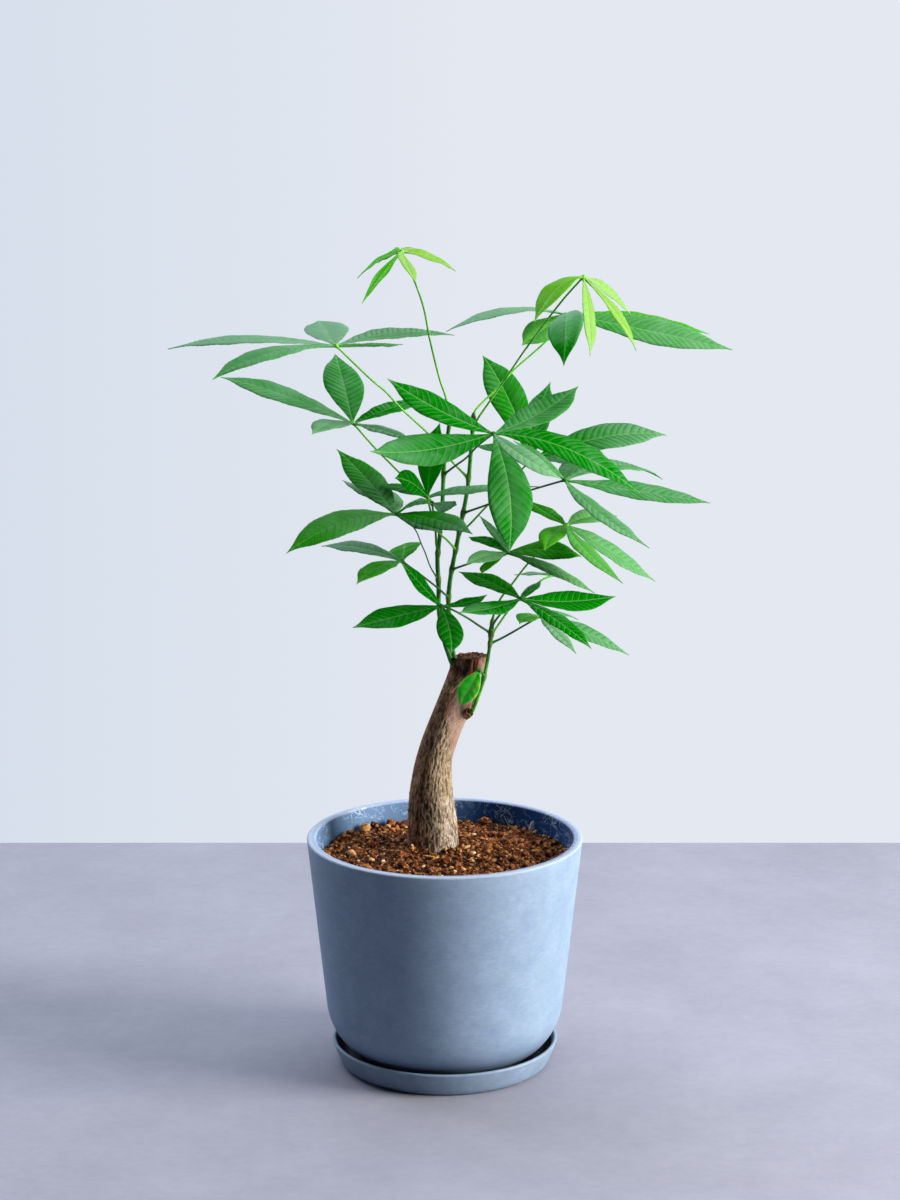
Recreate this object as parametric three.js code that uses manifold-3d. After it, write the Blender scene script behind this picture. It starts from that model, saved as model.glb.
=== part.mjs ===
// A money tree in a matt round pot that stands in its saucer. Millimetres, +Z up, and the viewer of the
// picture stands on the -Y side. The origin is the middle of the saucer's underside.
import * as THREE from "three";
import { mergeVertices } from "three/addons/utils/BufferGeometryUtils.js";
import Module from "manifold-3d";

const wasm = await Module();
wasm.setup();

// ---- Driving dimensions ----
const CLEAR = 0.3; // between two pieces that touch

const SAUCER = {
  rimRadius: 82.5,
  height: 18.5,
  footRadius: 72,
  wall: 2.8,
  floor: 3,
};

const POT = {
  rimRadius: 100,
  top: 171,
  wall: 6.6,
  rimRound: 2,
  waistRadius: 86.5, // where the straight side meets the round shoulder
  shoulder: 47,
  floor: 7,
  footRing: 5.5,
  footRecess: 2,
  drainRadius: 7,
};

const SOIL = {
  edge: 154.5, // height at the wall of the pot
  mound: 4.5, // rise towards the trunk
  moundReach: 42,
  lumps: 1.1,
};

const TRUNK = {
  depthInSoil: 62,
  buriedBreadth: 26,
  room: 1.3, // between the trunk and the hole in the soil
  collarRise: 1.6, // ragged bark that stands round the sawn top
  collarWidth: 2.4,
  collarSunk: 2,
};

const STEM_RADIUS = 2;
const PETIOLE_RADIUS = 1;
const HUB_RADIUS = 2.5;
const BLADE_EDGE = 0.6;
const BLADE_RIB = 1.5;
const BLADE_FOLD = 0.03; // rise of the margin above the midrib, per millimetre of half the breadth
const YOUNG_FOLD = 0.08;
const BLADE_WAVE = 0.9;
const BLADE_FOOT = 0.9; // half the breadth where a blade leaves the hub
const BLADE_POINT = 0.45;

const ROUND_SIDES = 40;
const SOIL_SIDES = 36;
const SOIL_RINGS = 8;
const TRUNK_SIDES = 14;
const STEM_SIDES = 6;
const PETIOLE_SIDES = 5;

// Stations along a leaflet, from its foot (0) to its tip (1).
const BLADE_STATIONS = [0, 0.13, 0.3, 0.48, 0.66, 0.84, 1];

const COLOUR = {
  pot: 0x5b6f96,
  saucer: 0x5d7199,
  soil: 0x4a382b,
  bark: 0x6e5f4e,
  stem: 0x2f6a2a,
  leaf: 0x2f8a35,
  youngLeaf: 0x77bf3a,
};

// ---- The picture ----
// Where the plant's parts lie is read off a picture of 900 x 1200 pixels. A place is written
// [across, down, nearer]: two pixel coordinates, and the distance in millimetres by which the place
// lies nearer to the viewer than the axis of the pot.
const PICTURE = {
  focal: 3187,
  across: 450,
  down: 600,
  pitch: THREE.MathUtils.degToRad(12.87),
  eye: new THREE.Vector3(3.85, -2218.1, 853.5),
};
const UP = new THREE.Vector3(0, 0, 1);

function seen([across, down, nearer]) {
  const right = (across - PICTURE.across) / PICTURE.focal;
  const above = (PICTURE.down - down) / PICTURE.focal;
  const c = Math.cos(PICTURE.pitch);
  const s = Math.sin(PICTURE.pitch);
  const ray = new THREE.Vector3(right, c + above * s, above * c - s);
  return ray.multiplyScalar((-nearer - PICTURE.eye.y) / ray.y).add(PICTURE.eye);
}

// The trunk's middle line from the soil up to the sawn top, and its breadth in millimetres.
const TRUNK_NEARER = -20;
const TRUNK_STATIONS = [
  { middle: [432.8, 843], breadth: 37.5 },
  { middle: [432.5, 822], breadth: 36 },
  { middle: [431.8, 801], breadth: 33.5 },
  { middle: [432.5, 780], breadth: 29.5 },
  { middle: [435.3, 756], breadth: 25.5 },
  { middle: [442.6, 731], breadth: 25 },
  { middle: [454, 703], breadth: 26.5 },
  { middle: [463.2, 682], breadth: 26 },
  { middle: [469.8, 666], breadth: 26.5 },
  { middle: [472, 658.5], breadth: 26 },
];
const TRUNK_STUB = { from: [455, 704, -20], to: [471.5, 717, -8], thick: 7, thin: 4.6 };

// The green shoots, from the place in the trunk where they rise to their top.
const STEMS = {
  stem_left: [
    [457, 668, -18],
    [449.5, 655, -14],
    [444.9, 644.3, -13],
    [439.1, 612.7, -12],
    [438.5, 582.9, -12],
    [437.4, 559.4, -11],
    [440, 533.5, -10],
    [442, 511, -9],
    [443.9, 468.8, -7],
    [447, 440, -5],
    [449.4, 424.4, -4],
  ],
  stem_right: [
    [462, 664, -24],
    [455, 650, -24],
    [451, 630, -23],
    [448.4, 603.3, -22],
    [449.5, 585, -21],
    [452.2, 567.6, -20],
    [456, 548.4, -19],
    [462.4, 516.5, -17],
    [467.5, 488.5, -15],
    [471.3, 446.4, -12],
    [473, 425, -11.3],
    [473.6, 412, -11],
  ],
  stem_low: [
    [467, 721, -10],
    [474.2, 713, -6],
    [479.8, 693.3, -3],
    [485.4, 675, -1],
    [488.9, 654, 1],
    [491.3, 632.6, 3],
    [492.3, 620, 4],
  ],
};

// Every leaf: the stem it grows from, its petiole from that stem to the hub, and its leaflets round
// the hub. mid is a place that the midrib passes halfway, breadth the leaflet's real breadth in
// millimetres, and shows how broad it looks in the picture, in pixels.
const LEAVES = {
  leaf_crown_left: {
    young: true,
    stem: "stem_left",
    petiole: [
      [449.4, 424.4, -4],
      [446, 398, -2],
      [440, 380, 0],
      [429.7, 338.5, 4],
      [424, 309, 7],
      [416.5, 286, 9],
      [401.5, 251.5, 12],
    ],
    leaflets: [
      { tip: [357, 278, -20], mid: [379, 260], breadth: 13, shows: 4 },
      { tip: [362, 303, 37], mid: [383.5, 272.5], breadth: 15, shows: 8 },
      { tip: [416.5, 283.5, 66], mid: [406, 263.5], breadth: 14, shows: 10 },
      { tip: [456, 271, -10], mid: [430, 257], breadth: 14, shows: 7 },
      { tip: [421, 249, -38], mid: [411, 249.5], breadth: 12, shows: 5 },
      { tip: [377.7, 263, -36], mid: [389.5, 254.5], breadth: 13, shows: 6 },
    ],
  },
  leaf_upper_left: {
    stem: "stem_right",
    petiole: [
      [468, 478, -14.5],
      [449.4, 458.6, -14],
      [440, 446.5, -13],
      [426.3, 431.8, -8],
      [399.5, 406.8, 8],
      [385.8, 391.8, 16],
      [371.7, 380, 23],
      [335.8, 345.5, 34],
    ],
    leaflets: [
      { tip: [167.7, 348.8, 30], mid: [246, 340], breadth: 32, shows: 8 },
      { tip: [212.6, 379.4, 98], mid: [268, 354], breadth: 29, shows: 13 },
      { tip: [318, 320.5, -60], mid: [327, 330.5], breadth: 31, shows: 38 },
      { tip: [454.3, 335, -45], mid: [397, 333], breadth: 26, shows: 11 },
      { tip: [403, 344, -40], mid: [370, 345.3], breadth: 16, shows: 4 },
    ],
  },
  leaf_middle_left: {
    stem: "stem_left",
    petiole: [
      [442, 511, -9],
      [430, 499.5, -6],
      [402.2, 475.2, 0],
      [388.4, 461.4, 3],
      [376, 449, 5],
      [353, 423, 8],
    ],
    leaflets: [
      { tip: [221, 377, -5], mid: [282, 394.5], breadth: 29, shows: 17 },
      { tip: [335, 353.6, -75], mid: [344, 386], breadth: 29, shows: 38 },
      { tip: [425, 397, -68], mid: [390, 408.5], breadth: 23, shows: 13 },
      { tip: [412, 440, 42], mid: [382, 430], breadth: 14, shows: 8 },
      { tip: [312, 434, 78], mid: [332, 423.5], breadth: 21, shows: 13 },
    ],
  },
  leaf_inner_left: {
    stem: "stem_right",
    petiole: [
      [455.7, 549.5, -19],
      [447, 540, -10],
      [441, 535, -3.5],
      [436, 529, 2],
      [431, 513, 14],
      [427.5, 497, 22],
    ],
    leaflets: [
      { tip: [440, 422.5, 14], mid: [431, 460], breadth: 20, shows: 26 },
      { tip: [396, 480, 40], mid: [413, 481.5], breadth: 16, shows: 15 },
      { tip: [380, 484.5, 12], mid: [404, 489], breadth: 18, shows: 9 },
      { tip: [540.5, 486.3, 0], mid: [468, 490], breadth: 23, shows: 8 },
    ],
  },
  leaf_inner_small: {
    stem: "stem_left",
    petiole: [
      [438.2, 553, -10.6],
      [436.4, 545, -7],
      [435.6, 532, -5],
      [434, 517, 0],
      [432, 503, 6],
    ],
    leaflets: [
      { tip: [413.5, 500.5, 5], mid: [423, 500.5], breadth: 9, shows: 4 },
      { tip: [456.5, 504.5, 26], mid: [446, 506.5], breadth: 13, shows: 12 },
    ],
  },
  leaf_centre: {
    stem: "stem_left",
    petiole: [
      [444.3, 474, -7.2],
      [455, 466, 4],
      [466, 458, 20],
      [478.6, 445, 42],
      [493.6, 433.5, 60],
    ],
    leaflets: [
      { tip: [387.5, 378.5, 42], mid: [437, 409], breadth: 27, shows: 24 },
      { tip: [370.8, 451.2, 110], mid: [427, 450], breadth: 31, shows: 33 },
      { tip: [508.9, 552.9, 88], mid: [507.5, 493, 88], breadth: 33, shows: 46 },
      { tip: [578.5, 386, -15], mid: [539, 413.5], breadth: 28, shows: 25 },
      { tip: [640.5, 494, 74], mid: [568, 449], breadth: 31, shows: 24 },
      { tip: [561, 478.7, 88], mid: [522, 453], breadth: 17, shows: 15 },
    ],
  },
  leaf_lower_left: {
    stem: "stem_left",
    petiole: [
      [438.2, 580, -12],
      [430.5, 567, -4],
      [425.4, 553.5, 6],
      [421.6, 544.6, 13],
      [414, 528, 26],
      [396, 514, 38],
    ],
    leaflets: [
      { tip: [336.8, 449, -25], mid: [370, 482.5], breadth: 25, shows: 27 },
      { tip: [342.5, 480, -35], mid: [368, 494], breadth: 20, shows: 9 },
      { tip: [286.4, 553, 83], mid: [340, 523.5], breadth: 29, shows: 26 },
      { tip: [384, 487, -50], mid: [391, 496], breadth: 20, shows: 17 },
      { tip: [472.6, 533.8, 88], mid: [434, 519], breadth: 25, shows: 18 },
      { tip: [443, 532, 60], mid: [418, 524], breadth: 14, shows: 9 },
      { tip: [432, 503.5, 45], mid: [413, 504], breadth: 12, shows: 4 },
    ],
  },
  leaf_right: {
    stem: "stem_right",
    petiole: [
      [463.5, 513, -16.8],
      [478, 508, -8],
      [492, 503, 2],
      [531, 490, 24],
      [565.2, 480, 40],
    ],
    leaflets: [
      { tip: [513.5, 440.5, 24], mid: [540, 458.5], breadth: 13, shows: 9 },
      { tip: [598, 446, -50], mid: [580, 464], breadth: 29, shows: 26 },
      { tip: [662.7, 479, -35], mid: [616, 465], breadth: 25, shows: 10 },
      { tip: [710.6, 502.8, 45], mid: [640, 491.5], breadth: 31, shows: 17 },
      { tip: [649.4, 547.6, 94], mid: [598, 512], breadth: 27, shows: 14 },
    ],
  },
  leaf_top_right_back: {
    stem: "stem_right",
    petiole: [
      [473.3, 418.5, -11.2],
      [475.3, 410.8, -14.5],
      [483.7, 401.4, -18],
      [493.9, 391.7, -21],
      [511.6, 372.2, -28],
      [549.4, 337.6, -40],
      [566, 314, -45],
    ],
    leaflets: [
      { tip: [446, 331.3, -20], mid: [508, 311], breadth: 24, shows: 7 },
      { tip: [563.7, 366, 26], mid: [566, 324, -4], breadth: 27, shows: 35 },
      { tip: [732.5, 349.5, -30], mid: [650, 331], breadth: 33, shows: 25 },
      { tip: [709.6, 334, -95], mid: [645, 320], breadth: 27, shows: 12 },
      { tip: [522, 345, -16], mid: [543, 330], breadth: 24, shows: 26 },
    ],
  },
  leaf_top_right: {
    young: true,
    stem: "stem_right",
    petiole: [
      [472.8, 428, -11.5],
      [478, 418.5, -8.8],
      [490.8, 399.9, -6],
      [504.6, 380, -2],
      [528, 345.7, 8],
      [563.7, 298.8, 22],
      [583.5, 276.7, 28],
    ],
    leaflets: [
      { tip: [534, 322, 74], mid: [558, 287.5], breadth: 20, shows: 16 },
      { tip: [590.6, 355.5, 70], mid: [588.5, 314], breadth: 16, shows: 12 },
      { tip: [636.7, 350.8, 44], mid: [615, 312], breadth: 15, shows: 8 },
      { tip: [631, 315, -5], mid: [610, 292.5], breadth: 15, shows: 8 },
    ],
  },
  leaf_behind_centre: {
    stem: "stem_right",
    petiole: [
      [459.4, 531.5, -18],
      [466, 527.6, -17.6],
      [485.9, 507, -15.5],
      [510, 481.5, -13],
      [532.4, 458.8, -10],
    ],
    leaflets: [
      { tip: [482.7, 355.5, -62], mid: [508, 398, -41], breadth: 28, shows: 35 },
      { tip: [550.4, 382, -72], mid: [536, 421, -43], breadth: 26, shows: 30 },
      { tip: [474, 446, -38], mid: [503, 449], breadth: 19, shows: 10 },
      { tip: [585, 462, -60], mid: [558, 459], breadth: 20, shows: 9 },
      { tip: [667, 435, -45], mid: [604, 437], breadth: 28, shows: 26 },
    ],
  },
  leaf_lower_right: {
    stem: "stem_low",
    petiole: [
      [492.2, 621.5, 4],
      [495.2, 609.5, 6.2],
      [501, 598, 8],
      [511, 585.4, 12],
      [527, 564.7, 19],
      [545, 545.5, 25],
      [566.7, 524.9, 30],
    ],
    leaflets: [
      { tip: [528, 500, -22], mid: [546, 512.5], breadth: 18, shows: 12 },
      { tip: [544.4, 550.6, 92], mid: [553.5, 533, 70], breadth: 18, shows: 21 },
      { tip: [617.3, 515.8, -22], mid: [591, 516.5], breadth: 20, shows: 15 },
      { tip: [623, 583, 80], mid: [586.5, 551.5], breadth: 22, shows: 14 },
      { tip: [655.5, 581.2, 12], mid: [608.5, 550], breadth: 24, shows: 15 },
    ],
  },
  leaf_low_left_back: {
    stem: "stem_right",
    petiole: [
      [448.8, 597, -22],
      [444.3, 593.8, -14],
      [438.5, 588.5, -4],
      [425, 578, 5],
      [402, 561, 18],
    ],
    leaflets: [
      { tip: [321.5, 546, -14], mid: [360, 547.5], breadth: 20, shows: 12 },
      { tip: [405, 543, -54], mid: [404, 550], breadth: 25, shows: 31 },
      { tip: [356.3, 584, 74], mid: [379, 567], breadth: 20, shows: 15 },
    ],
  },
  leaf_low_left: {
    stem: "stem_low",
    petiole: [
      [490.6, 633, 2.8],
      [478, 625, 8],
      [469.7, 619.4, 14],
      [451.5, 609.4, 26],
      [441, 605.8, 32],
    ],
    leaflets: [
      { tip: [352.7, 627.5, 66], mid: [398, 616], breadth: 27, shows: 22 },
      { tip: [451.5, 653.4, 60], mid: [449.5, 629], breadth: 20, shows: 26 },
      { tip: [487.2, 594.4, 12], mid: [466, 603], breadth: 13, shows: 9 },
      { tip: [401, 562, 42], mid: [421.5, 585], breadth: 17, shows: 13 },
    ],
  },
  leaf_low_centre: {
    stem: "stem_right",
    petiole: [
      [452, 569.5, -20],
      [465.7, 564.7, -8],
      [480, 560, 8],
      [507.5, 552.5, 38],
    ],
    leaflets: [
      { tip: [468.6, 537, 0], mid: [487, 541], breadth: 15, shows: 10 },
      { tip: [479, 515, 2], mid: [496.5, 534.5], breadth: 13, shows: 9 },
      { tip: [582, 556.4, 42], mid: [546, 549.5, 45], breadth: 26, shows: 19 },
      { tip: [594.9, 592.9, 55], mid: [550, 569], breadth: 20, shows: 10 },
      { tip: [483, 573, 86], mid: [487, 555, 68], breadth: 26, shows: 30 },
    ],
  },
  leaf_low_front: {
    stem: "stem_low",
    petiole: [
      [491.5, 628.5, 3.2],
      [495.5, 620.5, 12],
      [508, 606.5, 30],
      [520.8, 598.7, 46],
    ],
    leaflets: [
      { tip: [458.6, 571.6, 6], mid: [491, 582.5], breadth: 22, shows: 16 },
      { tip: [460, 612, 98], mid: [490, 608.5], breadth: 24, shows: 16 },
      { tip: [615.7, 596.2, 8], mid: [568, 601.5], breadth: 26, shows: 20 },
      { tip: [591.6, 648.4, 90], mid: [557, 620.5], breadth: 23, shows: 14 },
      { tip: [542, 580, 26], mid: [530, 590.5], breadth: 11, shows: 8 },
    ],
  },
  leaf_low_back: {
    stem: "stem_low",
    petiole: [
      [490.3, 643.4, 2],
      [500.5, 638.8, 0],
      [526, 624.4, -5],
      [540, 616, -8],
    ],
    leaflets: [
      { tip: [519.5, 623.5, 22], mid: [528, 616.5], breadth: 15, shows: 12 },
      { tip: [576.4, 653.4, 30], mid: [556, 632], breadth: 15, shows: 10 },
      { tip: [629.3, 655, -20], mid: [584.5, 632], breadth: 19, shows: 13 },
      { tip: [578.4, 619.4, -58], mid: [559, 613.5], breadth: 11, shows: 5 },
    ],
  },
  leaf_small_back: {
    stem: "stem_low",
    petiole: [
      [491.2, 636, 2.7],
      [498.5, 624.5, -5],
      [515, 602.5, -11],
      [533, 587, -17],
      [542, 580, -20],
      [555, 574.5, -25],
    ],
    leaflets: [
      { tip: [514.5, 574.6, -32], mid: [535, 573.5], breadth: 8, shows: 3 },
      { tip: [570, 581, -50], mid: [563, 575], breadth: 8, shows: 3 },
    ],
  },
  leaf_on_trunk: {
    stem: "stem_low",
    petiole: [
      [484.6, 677.5, -1.2],
      [482.4, 673.2, 2.6],
      [480, 670, 5],
    ],
    leaflets: [{ tip: [459.5, 703, 12], mid: [470.5, 686.5, 10], breadth: 16, shows: 20 }],
  },
};

// ---- Solids ----
function solidOf(geometry) {
  const bare = geometry.clone();
  bare.deleteAttribute("normal");
  bare.deleteAttribute("uv");
  const merged = mergeVertices(bare, 1e-4);
  return new wasm.Manifold(
    new wasm.Mesh({
      numProp: 3,
      vertProperties: new Float32Array(merged.attributes.position.array),
      triVerts: new Uint32Array(merged.index.array),
    }),
  );
}

function geometryOf(solid) {
  const mesh = solid.getMesh();
  const geometry = new THREE.BufferGeometry();
  geometry.setAttribute("position", new THREE.BufferAttribute(mesh.vertProperties, 3));
  geometry.setIndex(new THREE.BufferAttribute(mesh.triVerts, 1));
  geometry.computeVertexNormals();
  return geometry;
}

function closedMesh(points, faces) {
  const geometry = new THREE.BufferGeometry().setFromPoints(points);
  geometry.setIndex(faces);
  return geometry;
}

// Rings of equally many points, each joined to the next, with a fan over both ends. They run so that
// the points turn to the left about the way from the first ring to the last.
function skin(rings) {
  const sides = rings[0].length;
  const points = rings.flat();
  const faces = [];
  for (let i = 0; i + 1 < rings.length; i++) {
    for (let j = 0; j < sides; j++) {
      const a = i * sides + j;
      const b = i * sides + ((j + 1) % sides);
      faces.push(a, b, b + sides, a, b + sides, a + sides);
    }
  }
  const middle = (ring) =>
    ring.reduce((sum, p) => sum.add(p), new THREE.Vector3()).divideScalar(sides);
  const first = points.push(middle(rings[0])) - 1;
  const last = points.push(middle(rings.at(-1))) - 1;
  const top = (rings.length - 1) * sides;
  for (let j = 0; j < sides; j++) {
    const k = (j + 1) % sides;
    faces.push(first, k, j, last, top + j, top + k);
  }
  return closedMesh(points, faces);
}

// A round limb along a curve. radius(u, angle) gives its radius at the share u of its length.
function limb(curve, steps, sides, radius) {
  const frames = curve.computeFrenetFrames(steps);
  const rings = [];
  for (let i = 0; i <= steps; i++) {
    const u = i / steps;
    const middle = curve.getPointAt(u);
    const ring = [];
    for (let j = 0; j < sides; j++) {
      const angle = (2 * Math.PI * j) / sides;
      const r = radius(u, angle);
      const point = middle.clone();
      point.addScaledVector(frames.normals[i], r * Math.cos(angle));
      point.addScaledVector(frames.binormals[i], r * Math.sin(angle));
      ring.push(point);
    }
    rings.push(ring);
  }
  return solidOf(skin(rings));
}

function curveThrough(places) {
  return new THREE.CatmullRomCurve3(places.map(seen), false, "centripetal");
}

function turned(profile, sides) {
  const points = profile.map(([r, z]) => new THREE.Vector2(r, z));
  return new THREE.LatheGeometry(points, sides).rotateX(Math.PI / 2);
}

function arc(middleRadius, middleHeight, radius, from, to, steps) {
  const points = [];
  for (let i = 0; i <= steps; i++) {
    const angle = THREE.MathUtils.degToRad(from + ((to - from) * i) / steps);
    points.push([
      middleRadius + radius * Math.cos(angle),
      middleHeight + radius * Math.sin(angle),
    ]);
  }
  return points;
}

// The greatest body of a cut solid, without the crumbs that the cut leaves.
function largest(solid) {
  return solid.decompose().reduce((a, b) => (a.volume() > b.volume() ? a : b));
}

// ---- Pot and saucer ----
const potFoot = SAUCER.floor + CLEAR;
const shoulderHeight = potFoot + POT.shoulder;
const sideLean = Math.atan(
  (POT.rimRadius - POT.waistRadius) / (POT.top - shoulderHeight),
);
const leanDegrees = THREE.MathUtils.radToDeg(sideLean);
const shoulderMiddle = POT.waistRadius - POT.shoulder * Math.cos(sideLean);

function potProfile() {
  const outerArc = arc(shoulderMiddle, shoulderHeight, POT.shoulder, -83, -leanDegrees, 6);
  const innerArc = arc(
    shoulderMiddle, shoulderHeight, POT.shoulder - POT.floor, -leanDegrees, -90, 4,
  );
  const round = POT.rimRound;
  const outerLip = arc(POT.rimRadius - round, POT.top - round, round, 0, 90, 2);
  const innerLip = arc(POT.rimRadius - POT.wall + round, POT.top - round, round, 90, 180, 2);
  const recess = potFoot + POT.footRecess;
  const ringInside = shoulderMiddle - POT.footRing;
  return [
    [POT.drainRadius, recess],
    [ringInside, recess],
    [ringInside + 1.5, potFoot],
    ...outerArc,
    ...outerLip,
    ...innerLip,
    ...innerArc,
    [POT.drainRadius, shoulderHeight - POT.shoulder + POT.floor],
    [POT.drainRadius, recess],
  ];
}

function saucerProfile() {
  const { rimRadius, height, footRadius, wall, floor } = SAUCER;
  const lip = wall / 2;
  const turn = footRadius + 4;
  return [
    [0, 0],
    [footRadius, 0],
    [turn, 1.6],
    [turn + 1.8, 5],
    ...arc(rimRadius - lip, height - lip, lip, -10, 180, 4),
    [turn + 1.8 - wall, 6.6],
    [turn - wall - 1.2, floor + 0.8],
    [turn - wall - 4, floor],
    [0, floor],
  ];
}

// ---- Soil ----
const innerSlope = Math.tan(sideLean);

function wallRadiusInside(height) {
  return POT.rimRadius - POT.wall - (POT.top - height) * innerSlope - CLEAR;
}

const trunkFoot = seen([...TRUNK_STATIONS[0].middle, TRUNK_NEARER]);

function soilTop(x, y) {
  const away = Math.hypot(x - trunkFoot.x, y - trunkFoot.y) / SOIL.moundReach;
  const lumps =
    Math.sin(x / 5.3 + 1.2 * Math.sin(y / 9)) * Math.sin(y / 6.1 + 0.7) +
    0.6 * Math.sin((x + y) / 3.7) * Math.cos((x - y) / 4.9);
  return SOIL.edge + SOIL.mound * Math.exp(-away * away) + SOIL.lumps * lumps;
}

function soilSolid() {
  const rings = [];
  const ringAt = (radius, height) => {
    const ring = [];
    for (let j = 0; j < SOIL_SIDES; j++) {
      const angle = (2 * Math.PI * j) / SOIL_SIDES;
      const x = radius * Math.cos(angle);
      const y = radius * Math.sin(angle);
      ring.push(new THREE.Vector3(x, y, height ?? soilTop(x, y)));
    }
    return ring;
  };
  const hollow = arc(
    shoulderMiddle, shoulderHeight, POT.shoulder - POT.floor - CLEAR - 1, -90, -leanDegrees, 4,
  );
  for (const [radius, height] of hollow) rings.push(ringAt(radius, height));
  const rim = wallRadiusInside(SOIL.edge - 4);
  rings.push(ringAt(rim, SOIL.edge - 4));
  for (let i = SOIL_RINGS; i > 0; i--) rings.push(ringAt((rim * i) / SOIL_RINGS));
  return solidOf(skin(rings));
}

// ---- Trunk ----
function trunkSolid() {
  const points = TRUNK_STATIONS.map(({ middle }) => seen([...middle, TRUNK_NEARER]));
  const buried = points[0].clone().addScaledVector(UP, -TRUNK.depthInSoil);
  const curve = new THREE.CatmullRomCurve3([buried, ...points], false, "centripetal");
  const breadths = [TRUNK.buriedBreadth, ...TRUNK_STATIONS.map(({ breadth }) => breadth)];
  const breadthAt = (u) => {
    const place = curve.getUtoTmapping(u) * (breadths.length - 1);
    const i = Math.min(Math.floor(place), breadths.length - 2);
    return THREE.MathUtils.lerp(breadths[i], breadths[i + 1], place - i);
  };
  const bark = (u, angle) =>
    1 + 0.045 * Math.sin(3 * angle + 9 * u) + 0.03 * Math.sin(5 * angle - 14 * u + 1);
  let solid = limb(curve, 18, TRUNK_SIDES, (u, angle) => (breadthAt(u) / 2) * bark(u, angle));
  solid = solid.add(collarSolid(points.at(-1), curve.getTangentAt(1)));
  const stub = new THREE.LineCurve3(seen(TRUNK_STUB.from), seen(TRUNK_STUB.to));
  const stubRadius = (u) => THREE.MathUtils.lerp(TRUNK_STUB.thick, TRUNK_STUB.thin, u);
  return solid.add(limb(stub, 2, 8, stubRadius));
}

// The ragged edge of bark round the sawn top, sunk into the top.
function collarSolid(middle, along) {
  const across = new THREE.Vector3().crossVectors(UP, along).normalize();
  const toward = new THREE.Vector3().crossVectors(along, across);
  const outer = TRUNK_STATIONS.at(-1).breadth / 2;
  const sections = [
    [outer - TRUNK.collarWidth, -TRUNK.collarSunk],
    [outer + 0.5, -TRUNK.collarSunk],
    [outer + 0.7, TRUNK.collarRise],
    [outer - TRUNK.collarWidth + 0.8, TRUNK.collarRise],
  ];
  const points = [];
  const faces = [];
  for (let j = 0; j < TRUNK_SIDES; j++) {
    const angle = (2 * Math.PI * j) / TRUNK_SIDES;
    const ragged = 1 + 0.5 * Math.sin(3.1 * j) + 0.35 * Math.sin(7.7 * j + 1);
    for (const [radius, height] of sections) {
      const point = middle.clone();
      point.addScaledVector(across, radius * Math.cos(angle));
      point.addScaledVector(toward, radius * Math.sin(angle));
      point.addScaledVector(along, height > 0 ? height * ragged : height);
      points.push(point);
    }
    for (let k = 0; k < 4; k++) {
      const next = ((j + 1) % TRUNK_SIDES) * 4;
      const a = j * 4 + k;
      const b = j * 4 + ((k + 1) % 4);
      const c = next + ((k + 1) % 4);
      const d = next + k;
      faces.push(a, c, b, a, d, c);
    }
  }
  return solidOf(closedMesh(points, faces));
}

// ---- Stems ----
function stemSolid(places, extra = 0) {
  const curve = curveThrough(places);
  const taper = (u) => {
    const tip = Math.min(1, (1 - u) / 0.03);
    return (STEM_RADIUS - 0.5 * u) * (0.35 + 0.65 * Math.sqrt(tip)) + extra;
  };
  return limb(curve, 3 * (places.length - 1), STEM_SIDES, taper);
}

// ---- Leaves ----
// The outline of a leaflet: half its breadth at the share t of its length, of 1 at its widest.
function outline(t) {
  const body = Math.sin(Math.PI * t ** 1.1);
  const drawnOut = 1 - 0.4 * THREE.MathUtils.smoothstep(t, 0.78, 1);
  return body * drawnOut;
}

// The turn about its midrib at which a blade looks as broad in the picture as it should.
function turnThatShows(place, along, level, face, breadth, shows) {
  const sight = place.clone().sub(PICTURE.eye);
  const scale = PICTURE.focal / sight.length();
  sight.normalize();
  const across = new THREE.Vector3().crossVectors(along, sight).normalize();
  const flat = level.dot(across);
  const upright = face.dot(across);
  const most = Math.hypot(flat, upright);
  const spread = Math.acos(Math.min(1, shows / (breadth * scale * most)));
  const middle = Math.atan2(upright, flat);
  let best = null;
  for (const turn of [middle + spread, middle - spread, middle + spread - Math.PI,
    middle - spread - Math.PI, middle + spread + Math.PI, middle - spread + Math.PI]) {
    const normal = face.clone().multiplyScalar(Math.cos(turn));
    normal.addScaledVector(level, -Math.sin(turn));
    const showsUpperFace = normal.dot(sight) < 0.02;
    if (showsUpperFace && (best === null || Math.abs(turn) < Math.abs(best))) best = turn;
  }
  return best ?? 0;
}

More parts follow.
